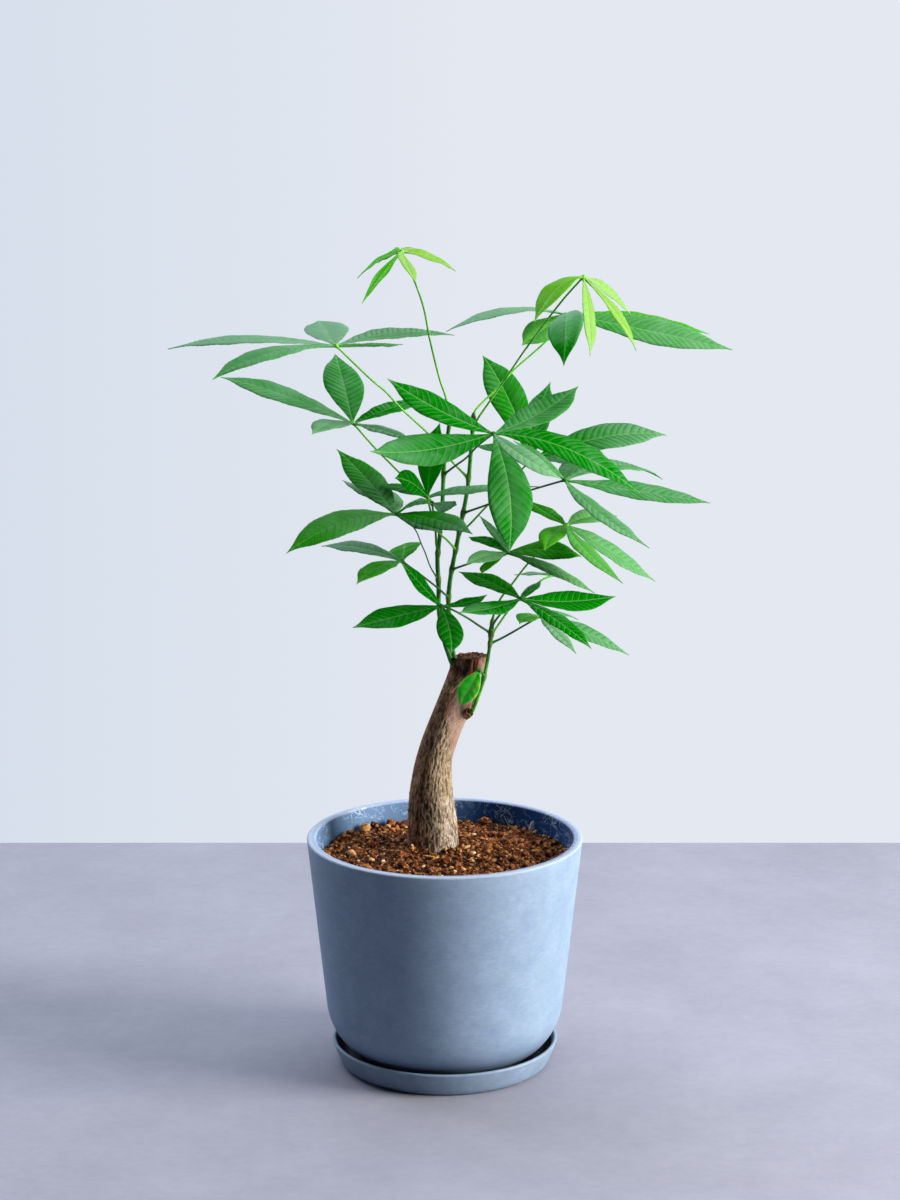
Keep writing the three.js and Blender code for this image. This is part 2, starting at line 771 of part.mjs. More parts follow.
function leafletSolid(hub, { tip, mid, breadth, shows }, hubNearer, fold, phase) {
  const end = seen(tip);
  const halfway = seen([mid[0], mid[1], mid[2] ?? (hubNearer + tip[2]) / 2]);
  const pull = halfway.clone().multiplyScalar(2);
  pull.addScaledVector(hub, -0.5).addScaledVector(end, -0.5);
  const rib = new THREE.QuadraticBezierCurve3(hub, pull, end);
  const along = rib.getTangent(0.5);
  const level = new THREE.Vector3().crossVectors(along, UP).normalize();
  const face = new THREE.Vector3().crossVectors(level, along);
  const turn = turnThatShows(halfway, along, level, face, breadth, shows);
  const side = level.multiplyScalar(Math.cos(turn)).addScaledVector(face, Math.sin(turn));
  const rings = BLADE_STATIONS.map((t) => {
    const middle = rib.getPoint(t);
    const tangent = rib.getTangent(t);
    const spread = side.clone().addScaledVector(tangent, -side.dot(tangent)).normalize();
    const normal = new THREE.Vector3().crossVectors(spread, tangent);
    const half = Math.max((breadth / 2) * outline(t), t < 0.5 ? BLADE_FOOT : BLADE_POINT);
    const wave = BLADE_WAVE * Math.sin(12 * t + phase) * outline(t);
    const point = (sideways, height) =>
      middle.clone().addScaledVector(spread, sideways).addScaledVector(normal, height);
    const lift = fold * half;
    const ribThick = t < 1 ? BLADE_RIB : BLADE_EDGE;
    return [
      point(half, lift + wave + BLADE_EDGE / 2),
      point(0, BLADE_EDGE / 2),
      point(-half, lift - wave + BLADE_EDGE / 2),
      point(-half, lift - wave - BLADE_EDGE / 2),
      point(0, BLADE_EDGE / 2 - ribThick),
      point(half, lift + wave - BLADE_EDGE / 2),
    ];
  });
  return solidOf(bladeSkin(rings));
}

// A blade of rings of six: three points on the upper face from one margin to the other, and three
// on the lower face back again. Both faces are split along the same diagonals.
function bladeSkin(rings) {
  const faces = [];
  const quad = (a, b, c, d) => faces.push(a, b, c, a, c, d);
  for (let i = 0; i + 1 < rings.length; i++) {
    const p = (k) => i * 6 + k;
    const q = (k) => (i + 1) * 6 + k;
    quad(p(1), p(0), q(0), q(1));
    quad(q(1), q(2), p(2), p(1));
    quad(p(4), q(4), q(5), p(5));
    faces.push(p(4), q(3), q(4));
    faces.push(p(4), p(3), q(3));
    quad(p(0), p(5), q(5), q(0));
    quad(p(3), p(2), q(2), q(3));
  }
  const end = (rings.length - 1) * 6;
  quad(0, 1, 4, 5);
  quad(1, 2, 3, 4);
  quad(end + 5, end + 4, end + 1, end);
  quad(end + 4, end + 3, end + 2, end + 1);
  return closedMesh(rings.flat(), faces);
}

function leafSolid({ stem, petiole, leaflets, young }) {
  const hubPlace = petiole.at(-1);
  const hub = seen(hubPlace);
  const stalk = curveThrough(petiole);
  const stalkRadius = (u) => PETIOLE_RADIUS * (1 + 0.45 * Math.exp(-14 * u));
  let solid = limb(stalk, petiole.length + 1, PETIOLE_SIDES, stalkRadius);
  solid = solid.add(solidOf(new THREE.OctahedronGeometry(HUB_RADIUS).translate(...hub)));
  const fold = young ? YOUNG_FOLD : BLADE_FOLD;
  leaflets.forEach((leaflet, i) => {
    solid = solid.add(leafletSolid(hub, leaflet, hubPlace[2], fold, 2.1 * i));
  });
  return largest(solid.subtract(stemSolid(STEMS[stem], CLEAR)));
}

// ---- Assembly ----
function finish(color, roughness, metalness = 0) {
  return new THREE.MeshStandardMaterial({ color, roughness, metalness });
}

const POT_WALL = finish(COLOUR.pot, 0.55);
const SAUCER_WALL = finish(COLOUR.saucer, 0.5);
const EARTH = finish(COLOUR.soil, 0.95);
const BARK = finish(COLOUR.bark, 0.9);
const GREEN_STEM = finish(COLOUR.stem, 0.5);
const GREEN_LEAF = finish(COLOUR.leaf, 0.45);
const YOUNG_LEAF = finish(COLOUR.youngLeaf, 0.4);

const plant = new THREE.Group();
const holder = new THREE.Group();
const root = new THREE.Group();
root.add(holder, plant);

function addPiece(group, name, geometry, material) {
  const mesh = new THREE.Mesh(geometry, material);
  mesh.name = name;
  group.add(mesh);
}

addPiece(holder, "saucer", turned(saucerProfile(), ROUND_SIDES), SAUCER_WALL);
addPiece(holder, "pot", turned(potProfile(), ROUND_SIDES), POT_WALL);

const shoots = Object.entries(STEMS);
const holeRadius = TRUNK_STATIONS[0].breadth / 2 + TRUNK.room;
const holeLength = TRUNK.depthInSoil + 2 * SOIL.moundReach;
const holeFloor = trunkFoot.z - TRUNK.depthInSoil - CLEAR;
const hole = new THREE.CylinderGeometry(holeRadius, holeRadius, holeLength, TRUNK_SIDES)
  .rotateX(Math.PI / 2)
  .translate(trunkFoot.x, trunkFoot.y, holeFloor + holeLength / 2);
addPiece(holder, "soil", geometryOf(soilSolid().subtract(solidOf(hole))), EARTH);

let trunk = trunkSolid();
for (const [, places] of shoots) trunk = trunk.subtract(stemSolid(places, CLEAR));
addPiece(plant, "trunk", geometryOf(trunk), BARK);
for (const [name, places] of shoots) {
  addPiece(plant, name, geometryOf(stemSolid(places)), GREEN_STEM);
}
for (const [name, leaf] of Object.entries(LEAVES)) {
  addPiece(plant, name, geometryOf(leafSolid(leaf)), leaf.young ? YOUNG_LEAF : GREEN_LEAF);
}

export default root;
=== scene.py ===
# A money tree in a matt blue pot that stands in its saucer: the looks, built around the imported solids.
# Lengths in the tables are millimetres. The viewer of the picture stands on the -Y side.
import math
import random

import bpy
import numpy as np
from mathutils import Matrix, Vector, noise


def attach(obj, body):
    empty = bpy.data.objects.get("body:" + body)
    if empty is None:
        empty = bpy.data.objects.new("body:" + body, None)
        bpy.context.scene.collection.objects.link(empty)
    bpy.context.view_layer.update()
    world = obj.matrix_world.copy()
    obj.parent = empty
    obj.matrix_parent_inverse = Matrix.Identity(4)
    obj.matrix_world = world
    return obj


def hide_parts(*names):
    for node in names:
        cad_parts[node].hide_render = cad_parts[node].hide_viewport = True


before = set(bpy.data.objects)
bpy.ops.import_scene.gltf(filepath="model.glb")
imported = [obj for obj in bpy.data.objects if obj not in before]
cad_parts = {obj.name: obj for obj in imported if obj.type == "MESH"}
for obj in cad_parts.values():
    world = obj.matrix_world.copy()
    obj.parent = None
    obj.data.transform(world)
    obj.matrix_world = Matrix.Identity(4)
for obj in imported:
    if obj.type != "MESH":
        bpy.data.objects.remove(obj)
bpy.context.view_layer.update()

MM = 0.001
UP = np.array([0.0, 0.0, 1.0])
SIDEWAYS = np.array([1.0, 0.0, 0.0])
BODY = "root"

# ---- The picture ----
# Where the plant's parts lie is read off a picture of 900 x 1200 pixels. A place is written
# (across, down, nearer): two pixel coordinates, and how far the place lies nearer to the viewer than
# the axis of the pot.
PICTURE_SIZE = (900, 1200)
FOCAL = 3187  # pixels
PITCH = math.radians(12.87)
EYE = np.array([3.85, -2218.1, 853.5])
SENSOR = 36  # the longer side of the frame


def sight(across, down):
    """The way from the eye through a pixel, of length 1 along the level middle of the view."""
    right = (across - PICTURE_SIZE[0] / 2) / FOCAL
    above = (PICTURE_SIZE[1] / 2 - down) / FOCAL
    level, steep = math.cos(PITCH), math.sin(PITCH)
    return np.array([right, level + above * steep, above * level - steep])


def seen(across, down, nearer):
    """The place that the picture shows at a pixel, so much nearer than the axis of the pot."""
    ray = sight(across, down)
    return EYE + ray * ((-nearer - EYE[1]) / ray[1])


def seen_at_height(across, down, height):
    """The place that the picture shows at a pixel, at this height."""
    ray = sight(across, down)
    return EYE + ray * ((height - EYE[2]) / ray[2])


# ---- Sizes ----
POT = {
    "rim_radius": 100, "top": 171, "wall": 6.6, "rim_round": 1.4, "waist_radius": 86.5, "shoulder": 47,
    "floor": 7, "foot_ring": 5.5, "foot_recess": 2, "drain_radius": 7, "stands_at": 3.3,
}
SAUCER = {
    "rim_radius": 82.5, "height": 18.5, "foot_radius": 72, "side_radius": 76, "wall": 2.8, "floor": 3,
}
SOIL = {"edge": 154.5, "mound": 4.5, "mound_reach": 42, "lumps": 1.2, "crumbs": 1.6, "clear": 0.4}
SOIL_RINGS, SOIL_SIDES = 70, 260
SHOULDER_HEIGHT = POT["stands_at"] + POT["shoulder"]
SIDE_LEAN = math.atan((POT["rim_radius"] - POT["waist_radius"]) / (POT["top"] - SHOULDER_HEIGHT))
SHOULDER_MIDDLE = POT["waist_radius"] - POT["shoulder"] * math.cos(SIDE_LEAN)
TURNED_SIDES = 200
CARRIER_RADIUS = 1000  # of the ring that carries the profile of a turned piece

TRUNK_NEARER = -20
TRUNK_BURIED = 62
# The trunk's middle line in the picture, from the soil up, and its breadth.
TRUNK_STATIONS = [
    (432.8, 843, 37.5), (432.5, 822, 36), (431.8, 801, 33.5), (432.5, 780, 29.5), (435.3, 756, 25.5),
    (442.6, 731, 25), (453.6, 703, 25), (463, 682, 25), (468.4, 669, 26.5), (470, 656.5, 29),
]
TRUNK_BURIED_BREADTH = 26
TRUNK_FOOT = seen(*TRUNK_STATIONS[0][:2], TRUNK_NEARER)

STEM_RADIUS = 1.75
LOW_STEM_RADIUS = 1.5
PETIOLE_RADIUS = 0.72
THIN_PETIOLE_RADIUS = 0.45
VEIN_PITCH = 5.4  # from one side vein of a leaflet to the next, along the midrib
USUAL_FURROWS, YOUNG_FURROWS, MOST_FURROWED = 0.44, 0.15, 1.6
# The middle lines of the shoots in the picture, from the foot up.
STEMS = {
    "stem_left": [
        (457, 672, -18), (451.3, 662, -15), (448.5, 654, -14), (444.7, 642.5, -13),
        (439.1, 612.7, -12), (438.5, 582.9, -12), (437.4, 559.4, -11), (440, 533.5, -10),
        (442, 511, -9), (443.9, 468.8, -7), (447, 440, -5), (449.4, 424.4, -4),
    ],
    "stem_right": [
        (458, 668, -22), (453.3, 654, -22), (451.2, 640, -23), (450, 625, -23), (448.4, 603.3, -22),
        (449.5, 585, -21), (452.2, 567.6, -20), (456, 548.4, -19), (462.4, 516.5, -17),
        (467.5, 488.5, -15), (471.3, 446.4, -12), (473, 425, -11.3), (473.6, 412, -11),
    ],
    "stem_low": [
        (469.5, 714, -13), (472.8, 710, -8), (480, 691, -3), (485, 674, -1), (488.6, 654, 1),
        (491.3, 632.6, 3), (492.3, 620, 4),
    ],
}

# Every leaf: its petiole from the stem to the hub, and its leaflets round the hub as (tip, a place that
# the midrib passes halfway, real breadth, breadth in the picture in pixels, how much painted grey-green
# sheen lies on it, all over or at its foot and at its tip, which also stands in as painted light on leaflets
# in shade, how much painted yellow-green glow lies on it and tints the light that comes through it). Under 0
# or over 1, the painted sheen stays deep or pale where the tone of the leaf wavers. "furrows" is how high
# the blade rises between its side veins, where that isn't the usual. A blunt leaflet is round at its ends.
LEAVES = {
    "leaf_crown_left": {
        "young": True,
        "petiole": [(449.4, 424.4, -4), (446, 398, -2), (440, 380, 0), (429.7, 338.5, 4), (424, 309, 7),
                    (416.5, 286, 9), (401.5, 251.5, 12)],
        "leaflets": [
            ((357, 278, -20), (379, 260), 13, 4, 0.1, 1),
            ((362, 303, 37), (383.5, 272.5), 15, 8, 0.1, 1),
            ((416.5, 283.5, 66), (406, 263.5), 14, 10, 0.3, 0),
            ((456, 271, -10), (430, 257), 14, 7, 0.2, 0),
            ((421, 249, -38), (411, 249.5), 12, 5, 0.5, 0),
            ((377.7, 263, -36), (389.5, 254.5), 13, 6, 0.3, 1),
        ],
    },
    "leaf_upper_left": {
        "petiole": [(468, 478, -14.5), (449.4, 458.6, -14), (440, 446.5, -13), (426.3, 431.8, -8),
                    (399.5, 406.8, 8), (385.8, 391.8, 16), (371.7, 380, 23), (335.8, 345.5, 34)],
        "leaflets": [
            ((167.7, 348.8, 30), (246, 340), 32, 8, (1, 0.8), 0),
            ((212.6, 379.4, 98), (268, 354), 29, 13, (0.75, 0.2), 0),
            ((318, 320.5, -60), (327, 330.5), 31, 38, 1, 0),
            ((454.3, 335, -45), (397, 333), 26, 11, (0.9, 0.5), 0),
            ((403, 344, -40), (370, 345.3), 16, 4, 0.5, 0.3),
        ],
    },
    "leaf_middle_left": {
        "petiole": [(442, 511, -9), (430, 499.5, -6), (402.2, 475.2, 0), (388.4, 461.4, 3), (376, 449, 5),
                    (353, 423, 8)],
        "leaflets": [
            ((221, 377, -5), (282, 394.5), 29, 17, (0.6, 0.3), 0),
            ((335, 353.6, -75), (344, 386), 29, 38, (0.15, 0.3), 0),
            ((425, 397, -68), (390, 408.5), 23, 13, (-0.05, 0.1), 0),
            ((412, 440, 42), (382, 430), 14, 8, 0.8, 0),
            ((312, 434, 78), (332, 423.5), 21, 13, 0.75, 0),
        ],
    },
    "leaf_inner_left": {
        "petiole": [(455.7, 549.5, -19), (447, 540, -10), (441, 535, -3.5), (436, 529, 2), (431, 513, 14),
                    (427.5, 497, 22)],
        "leaflets": [
            ((440, 422.5, 14), (431, 460), 20, 26, -0.2, 0),
            ((395, 478, 40), (412, 483), 19, 19, -0.3, 0),
            ((380, 484.5, 12), (404, 489), 18, 9, 0.25, 0),
            ((540.5, 486.3, 0), (468, 490), 23, 8, (0.35, 0.7), 0),
        ],
    },
    "leaf_inner_small": {
        "shaded_stalk": True,
        "petiole": [(438.2, 553, -10.6), (436.4, 545, -7), (435.6, 532, -5), (434, 517, 0), (432, 503, 6)],
        "leaflets": [
            ((413.5, 500.5, 5), (423, 500.5), 9, 4, 0.9, 0),
            ((456.5, 504.5, 26), (446, 506.5), 13, 12, 0.9, 0),
        ],
    },
    "leaf_centre": {
        "shaded_stalk": True, "furrows": 0.3,
        "petiole": [(444.3, 474, -7.2), (455, 466, 4), (466, 458, 20), (478.6, 445, 42), (493.6, 433.5, 60)],
        "leaflets": [
            ((387.5, 378.5, 42), (437, 409), 27, 24, 0, 0),
            ((370.8, 451.2, 110), (427, 450), 31, 33, (-0.05, 0.4), 0),
            ((508.9, 552.9, 88), (509.5, 493, 88), 33, 44, 0.15, 0),
            ((578.5, 386, -15), (539, 413.5), 28, 25, 0.25, 0),
            ((640.5, 494, 74), (568, 449), 31, 24, (-0.1, 0.1), 0),
            ((561, 478.7, 92), (522, 455.5, 95), 16, 15, 0.75, 0),
        ],
    },
    "leaf_lower_left": {
        "shaded_stalk": True, "thin_stalk": True, "furrows": 0.6,
        "petiole": [(438.2, 580, -12), (430.5, 567, -4), (425.4, 553.5, 6), (421.6, 544.6, 13),
                    (414, 528, 26), (396, 514, 38)],
        "leaflets": [
            ((336.8, 449, -25), (370, 482.5), 25, 27, (0.7, -0.1), 0.2),
            ((342.5, 480, -35), (368, 494), 20, 9, 1, 0),
            ((286.4, 553, 83), (340, 523.5), 29, 26, (0.75, -0.1), 0.3),
            ((384, 487, -50), (391, 496), 20, 17, 1, 0.25),
            ((472.6, 533.8, 88), (434, 519), 25, 18, (-0.5, 0.7), 0.15),
            ((443, 532, 60), (418, 524), 14, 9, (0.5, 1), 0),
            ((432, 503.5, 45), (413, 504), 12, 4, 0.3, 0),
        ],
    },
    "leaf_right": {
        "shaded_stalk": True, "furrows": 0.3,
        "petiole": [(463.5, 513, -16.8), (478, 508, -8), (492, 503, 2), (531, 490, 24), (565.2, 480, 40)],
        "leaflets": [
            ((513.5, 440.5, 24), (540, 458.5), 13, 9, 0.5, 0),
            ((598, 446, -50), (580, 464), 29, 26, 0.5, 0),
            ((662.7, 479, -35), (616, 465), 25, 10, 0.5, 0),
            ((710.6, 502.8, 45), (640, 491.5), 31, 17, (0.25, 0.5), 0),
            ((649.4, 547.6, 94), (598, 512), 27, 14, (0.45, 0.6), 0),
        ],
    },
    "leaf_top_right_back": {
        "furrows": 0.26,
        "petiole": [(473.3, 418.5, -11.2), (475.3, 410.8, -14.5), (483.7, 401.4, -18), (493.9, 391.7, -21),
                    (511.6, 372.2, -28), (549.4, 337.6, -40), (566, 314, -45)],
        "leaflets": [
            ((446, 331.3, -20), (508, 311), 24, 7, 0.95, 0),
            ((563.7, 366, 26), (566, 324, -4), 27, 35, (1.5, -0.3), 0),
            ((732.5, 349.5, -30), (650, 331), 33, 25, (0.15, 0.65), 0.15),
            ((709.6, 334, -95), (645, 320), 27, 12, 0.1, 0.5),
            ((522, 345, -16), (543, 330), 24, 26, 0.7, 0.7),
        ],
    },
    "leaf_top_right": {
        "young": True,
        "petiole": [(472.8, 428, -11.5), (478, 418.5, -8.8), (490.8, 399.9, -6), (504.6, 380, -2),
                    (528, 345.7, 8), (563.7, 298.8, 22), (583.5, 276.7, 28)],
        "leaflets": [
            ((534, 322, 74), (558, 287.5), 20, 17, 0.1, 0.5),
            ((590.6, 355.5, 70), (588.5, 314), 16, 12, (0.3, 0.6), 0),
            ((636.7, 350.8, 44), (615, 312), 15, 8, 0.3, 0),
            ((631, 315, -5), (610, 292.5), 15, 8, 0.5, 0),
        ],
    },
    "leaf_behind_centre": {
        "petiole": [(459.4, 531.5, -18), (466, 527.6, -17.6), (485.9, 507, -15.5), (510, 481.5, -13),
                    (532.4, 458.8, -10)],
        "leaflets": [
            ((482.7, 355.5, -62), (508, 398, -41), 28, 35, 0.05, 0.1),
            ((550.4, 382, -72), (536, 421, -43), 26, 30, 0.1, 0),
            ((474, 446, -38), (503, 449), 19, 10, 0.3, 0),
            ((585, 462, -60), (558, 459), 20, 9, 0.4, 0),
            ((667, 435, -45), (604, 437), 28, 26, (-0.15, 0.8), 0),
        ],
    },
    "leaf_lower_right": {
        "furrows": 0.25,
        "petiole": [(492.2, 621.5, 4), (495.2, 609.5, 6.2), (501, 598, 8), (511, 585.4, 12),
                    (527, 564.7, 19), (545, 545.5, 25), (566.7, 524.9, 30)],
        "leaflets": [
            ((528, 500, -22), (546, 512.5), 18, 12, 0, 0.35),
            ((544.4, 550.6, 92), (553.5, 533, 70), 18, 21, 0.1, 0.9),
            ((617.3, 515.8, -22), (591, 516.5), 20, 15, 1, 0.5),
            ((623, 583, 80), (586.5, 551.5), 22, 14, 0.6, 0.6),
            ((655.5, 581.2, 12), (608.5, 550), 24, 15, (0.55, 0.7), 0.2),
        ],
    },
    "leaf_low_left_back": {
        "shaded_stalk": True,
        "petiole": [(448.8, 597, -22), (444.3, 593.8, -14), (438.5, 588.5, -4), (425, 578, 5),
                    (402, 561, 18)],
        "leaflets": [
            ((321.5, 546, -14), (360, 547.5), 20, 12, 1, 0),
            ((405, 543, -54), (404, 550), 25, 31, 0.1, 0.4),
            ((356.3, 584, 74), (379, 567), 20, 15, 0.1, 0.4),
        ],
    },
    "leaf_low_left": {
        "shaded_stalk": True, "furrows": 0.25,
        "petiole": [(490.6, 633, 2.8), (478, 625, 8), (469.7, 619.4, 14), (451.5, 609.4, 26),
                    (441, 605.8, 32)],
        "leaflets": [
            ((352.7, 627.5, 66), (398, 616), 27, 22, 0, 0),
            ((451.5, 653.4, 60), (449.5, 629), 20, 26, 0, 0),
            ((487.2, 594.4, 12), (466, 603), 13, 9, 0.05, 0),
            ((401, 562, 42), (421.5, 585), 17, 13, -0.2, 0),
        ],
    },
    "leaf_low_centre": {
        "shaded_stalk": True,
        "petiole": [(452, 569.5, -20), (465.7, 564.7, -8), (480, 560, 8), (507.5, 552.5, 38)],
        "leaflets": [
            ((468.6, 537, 0), (487, 541), 15, 10, 0, 0),
            ((479, 515, 2), (496.5, 534.5), 13, 9, 0.5, 0),
            ((582, 556.4, 42), (546, 549.5, 45), 26, 19, 0.05, 0.5),
            ((594.9, 592.9, 55), (550, 569), 20, 10, 1, 0.3),
            ((465.5, 564, 78), (487, 556), 15, 13, (0.9, 1), 0.3),
            ((482, 573.5, 72), (490, 563.5), 10, 8, 0, 0.6),
        ],
    },
    "leaf_low_front": {
        "shaded_stalk": True,
        "petiole": [(491.5, 628.5, 3.2), (495.5, 620.5, 12), (508, 606.5, 30), (520.8, 598.7, 46)],
        "leaflets": [
            ((458.6, 571.6, 6), (491, 582.5), 22, 16, 0.02, 0.12),
            ((460, 612, 98), (490, 608.5), 24, 16, (-0.1, 0.2), 0),
            ((615.7, 596.2, 8), (568, 601.5), 26, 20, -0.35, 0),
            ((591.6, 648.4, 90), (557, 620.5), 23, 14, (0.1, -0.15), 0),
            ((542, 580, 26), (530, 590.5), 11, 8, 0.3, 0),
        ],
    },
    "leaf_low_back": {
        "shaded_stalk": True,
        "petiole": [(490.3, 643.4, 2), (500.5, 638.8, 0), (526, 624.4, -5), (540, 616, -8)],
        "leaflets": [
            ((519.5, 623.5, 22), (528, 616.5), 15, 12, 0.3, 0.6),
            ((576.4, 653.4, 30), (556, 632), 15, 10, 0.8, 0),
            ((629.3, 655, -20), (584.5, 632), 19, 13, (0.3, 0.6), 0),
            ((578.4, 619.4, -58), (559, 613.5), 11, 5, 0.5, 0),
        ],
    },
    "leaf_small_back": {
        "petiole": [(491.2, 636, 2.7), (498.5, 624.5, -5), (515, 602.5, -11), (533, 587, -17),
                    (542, 580, -20), (555, 574.5, -25)],
        "leaflets": [
            ((514.5, 574.6, -32), (535, 573.5), 8, 3, 0.8, 0),
            ((570, 581, -50), (563, 575), 8, 3, 0.8, 0),
        ],
    },
    "leaf_on_trunk": {
        "blunt": True, "blotched": True, "shaded_stalk": True,
        "petiole": [(484.6, 677.5, -1.2), (482, 672.5, 2.6), (479.5, 670.5, 5)],
        "leaflets": [((460, 704.8, 12), (469.6, 687.6, 10), 15.5, 20.5, (0.1, 0.45), 0.1)],
    },
}


# ---- Making meshes ----
def unit(v):
    return v / np.linalg.norm(v, axis=-1, keepdims=True)


def smoothstep(x, low, high):
    share = np.clip((x - low) / (high - low), 0, 1)
    return share * share * (3 - 2 * share)


def smooth_path(points, steps):
    """A centripetal Catmull-Rom curve through the points, with so many steps between each two."""
    points = np.array(points, float)
    padded = np.vstack([2 * points[0] - points[1], points, 2 * points[-1] - points[-2]])
    path = []
    for a, b, c, d in zip(padded, padded[1:], padded[2:], padded[3:]):
        knots = np.cumsum([0] + [np.linalg.norm(q - p) ** 0.5 for p, q in ((a, b), (b, c), (c, d))])
        marks = np.linspace(knots[1], knots[2], steps, endpoint=False)[:, None]

        def between(p, q, low, high):
            return (p * (high - marks) + q * (marks - low)) / (high - low)

        first = between(a, b, knots[0], knots[1])
        second = between(b, c, knots[1], knots[2])
        third = between(c, d, knots[2], knots[3])
        early = between(first, second, knots[0], knots[2])
        late = between(second, third, knots[1], knots[3])
        path.append(between(early, late, knots[1], knots[2]))
    return np.vstack(path + [points[-1:]])


def lengths_along(path):
    return np.concatenate([[0], np.cumsum(np.linalg.norm(np.diff(path, axis=0), axis=1))])


def frames_along(path, start):
    """The way of a path at each of its points, and two ways across it that don't twist."""
    ways = unit(np.gradient(path, axis=0))
    side = start
    sides = []
    for way in ways:
        side = unit(side - way * (side @ way))
        sides.append(side)
    sides = np.array(sides)
    return ways, sides, np.cross(ways, sides)


def evenly(raw, count):
    """So many points at even distances along a path, after how far along it each of them lies."""
    far = lengths_along(raw)
    at = np.linspace(0, far[-1], count)
    return at, np.stack([np.interp(at, far, raw[:, k]) for k in range(3)], axis=-1)


def turns(count):
    """So many angles, evenly round a circle."""
    return np.arange(count) * 2 * math.pi / count


def spokes(around, sides, others):
    """The ways outwards, at each of the angles around, for each pair of ways across a path."""
    return np.cos(around)[:, None] * sides[:, None, :] + np.sin(around)[:, None] * others[:, None, :]


def nearness(points, spot, reach):
    """1 at the points that lie on a spot, and fading to 0 past the reach."""
    return np.exp(-(np.linalg.norm(points - spot, axis=-1) / reach) ** 2)


def skin_faces(rows, around):
    """Quads over rows of points that close on themselves, and a face over both ends."""
    first = np.arange(rows * around).reshape(rows, around)
    a, b = first[:-1], np.roll(first[:-1], -1, axis=1)
    d, c = first[1:], np.roll(first[1:], -1, axis=1)
    quads = np.stack([a, b, c, d], axis=-1).reshape(-1, 4).tolist()
    return quads + [first[0, ::-1].tolist(), first[-1].tolist()]


def mesh_object(name, points, faces, material=None, attributes=None, uv=None, smooth=True):
    """A linked mesh object. Points are in millimetres, attributes and uv hold a value for each point."""
    mesh = bpy.data.meshes.new(name)
    mesh.from_pydata((np.asarray(points, float) * MM).tolist(), [], faces)
    corners = np.zeros(len(mesh.loops), int)
    mesh.loops.foreach_get("vertex_index", corners)
    if uv is not None:
        layer = mesh.uv_layers.new(name="surface")
        layer.data.foreach_set("uv", np.asarray(uv, float)[corners].ravel())
    for key, values in (attributes or {}).items():
        values = np.asarray(values, float)
        kind, part = ("FLOAT", "value") if values.ndim == 1 else ("FLOAT_VECTOR", "vector")
        mesh.attributes.new(key, kind, "POINT").data.foreach_set(part, values.ravel())
    if material:
        mesh.materials.append(material)
    mesh.polygons.foreach_set("use_smooth", [smooth] * len(mesh.polygons))
    mesh.update()
    made = bpy.data.objects.new(name, mesh)
    bpy.context.collection.objects.link(made)
    return made


def joined(parts):
    """One list of points, faces and point values out of several."""
    points, faces, values, count = [], [], {}, 0
    for part_points, part_faces, part_values in parts:
        points.append(part_points)
        faces += [[i + count for i in face] for face in part_faces]
        count += len(part_points)
        for key, value in part_values.items():
            values.setdefault(key, []).append(value)
    return np.vstack(points), faces, {key: np.concatenate(value) for key, value in values.items()}


def place(piece, slot, *nodes):
    """Hangs a finished piece on the part's one body, and hides the imported solids of its nodes, which it
    stands for.
    """
    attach(piece, BODY)
    if nodes:
        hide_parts(*nodes)


# ---- Nodes ----
def add(tree, kind, inputs=None, stops=None, **settings):
    """Adds a node: its settings, its inputs by name or number, each a value or a link, and its stops."""
    made = tree.nodes.new(kind)
    for key, value in settings.items():
        setattr(made, key, value)
    for key, value in (inputs or {}).items():
        if isinstance(value, bpy.types.NodeSocket):
            tree.links.new(value, made.inputs[key])
        else:
            made.inputs[key].default_value = value
    if stops:
        ramp = made.color_ramp
        while len(ramp.elements) < len(stops):
            ramp.elements.new(1)
        for element, (at, colour) in zip(ramp.elements, stops):
            element.position = at
            element.color = colour
    return made


def tint(code):
    """An sRGB colour such as #2f8f3f, as linear values."""
    shares = [int(code[i:i + 2], 16) / 255 for i in (1, 3, 5)]
    return (*(s / 12.92 if s <= 0.04045 else ((s + 0.055) / 1.055) ** 2.4 for s in shares), 1)


def per(size):
    """How often a pattern of this size in millimetres comes back in a metre."""
    return 1 / (size * MM)


def start_material(name):
    material = bpy.data.materials.new(name)
    material.use_nodes = True
    material.node_tree.nodes.clear()
    return material, material.node_tree


def start_tree(name, sizes):
    """A tree of Geometry Nodes with an input for each named size, and those inputs."""
    tree = bpy.data.node_groups.new(name, "GeometryNodeTree")
    face = tree.interface
    face.new_socket("Geometry", in_out="INPUT", socket_type="NodeSocketGeometry")
    for label, kind in sizes.items():
        face.new_socket(label, in_out="INPUT", socket_type="NodeSocket" + kind)
    face.new_socket("Geometry", in_out="OUTPUT", socket_type="NodeSocketGeometry")
    return tree, add(tree, "NodeGroupInput").outputs


def end_tree(tree, geometry, material):
    """Ends a tree in real geometry of one material."""
    real = add(tree, "GeometryNodeRealizeInstances", {"Geometry": geometry}).outputs[0]
    done = add(tree, "GeometryNodeSetMaterial", {"Geometry": real, "Material": material}).outputs[0]
    add(tree, "NodeGroupOutput", {"Geometry": done})


def grown(base, tree, name, values):
    """What a Geometry Nodes tree makes of a base object, as a plain mesh object."""
    modifier = base.modifiers.new(tree.name, "NODES")
    modifier.node_group = tree
    for item in tree.interface.items_tree:
        if item.in_out == "INPUT" and item.name in values:
            modifier[item.identifier] = values[item.name]
    graph = bpy.context.evaluated_depsgraph_get()
    mesh = bpy.data.meshes.new_from_object(base.evaluated_get(graph), depsgraph=graph)
    mesh.name = name
    bpy.data.objects.remove(base)
    made = bpy.data.objects.new(name, mesh)
    bpy.context.collection.objects.link(made)
    return made


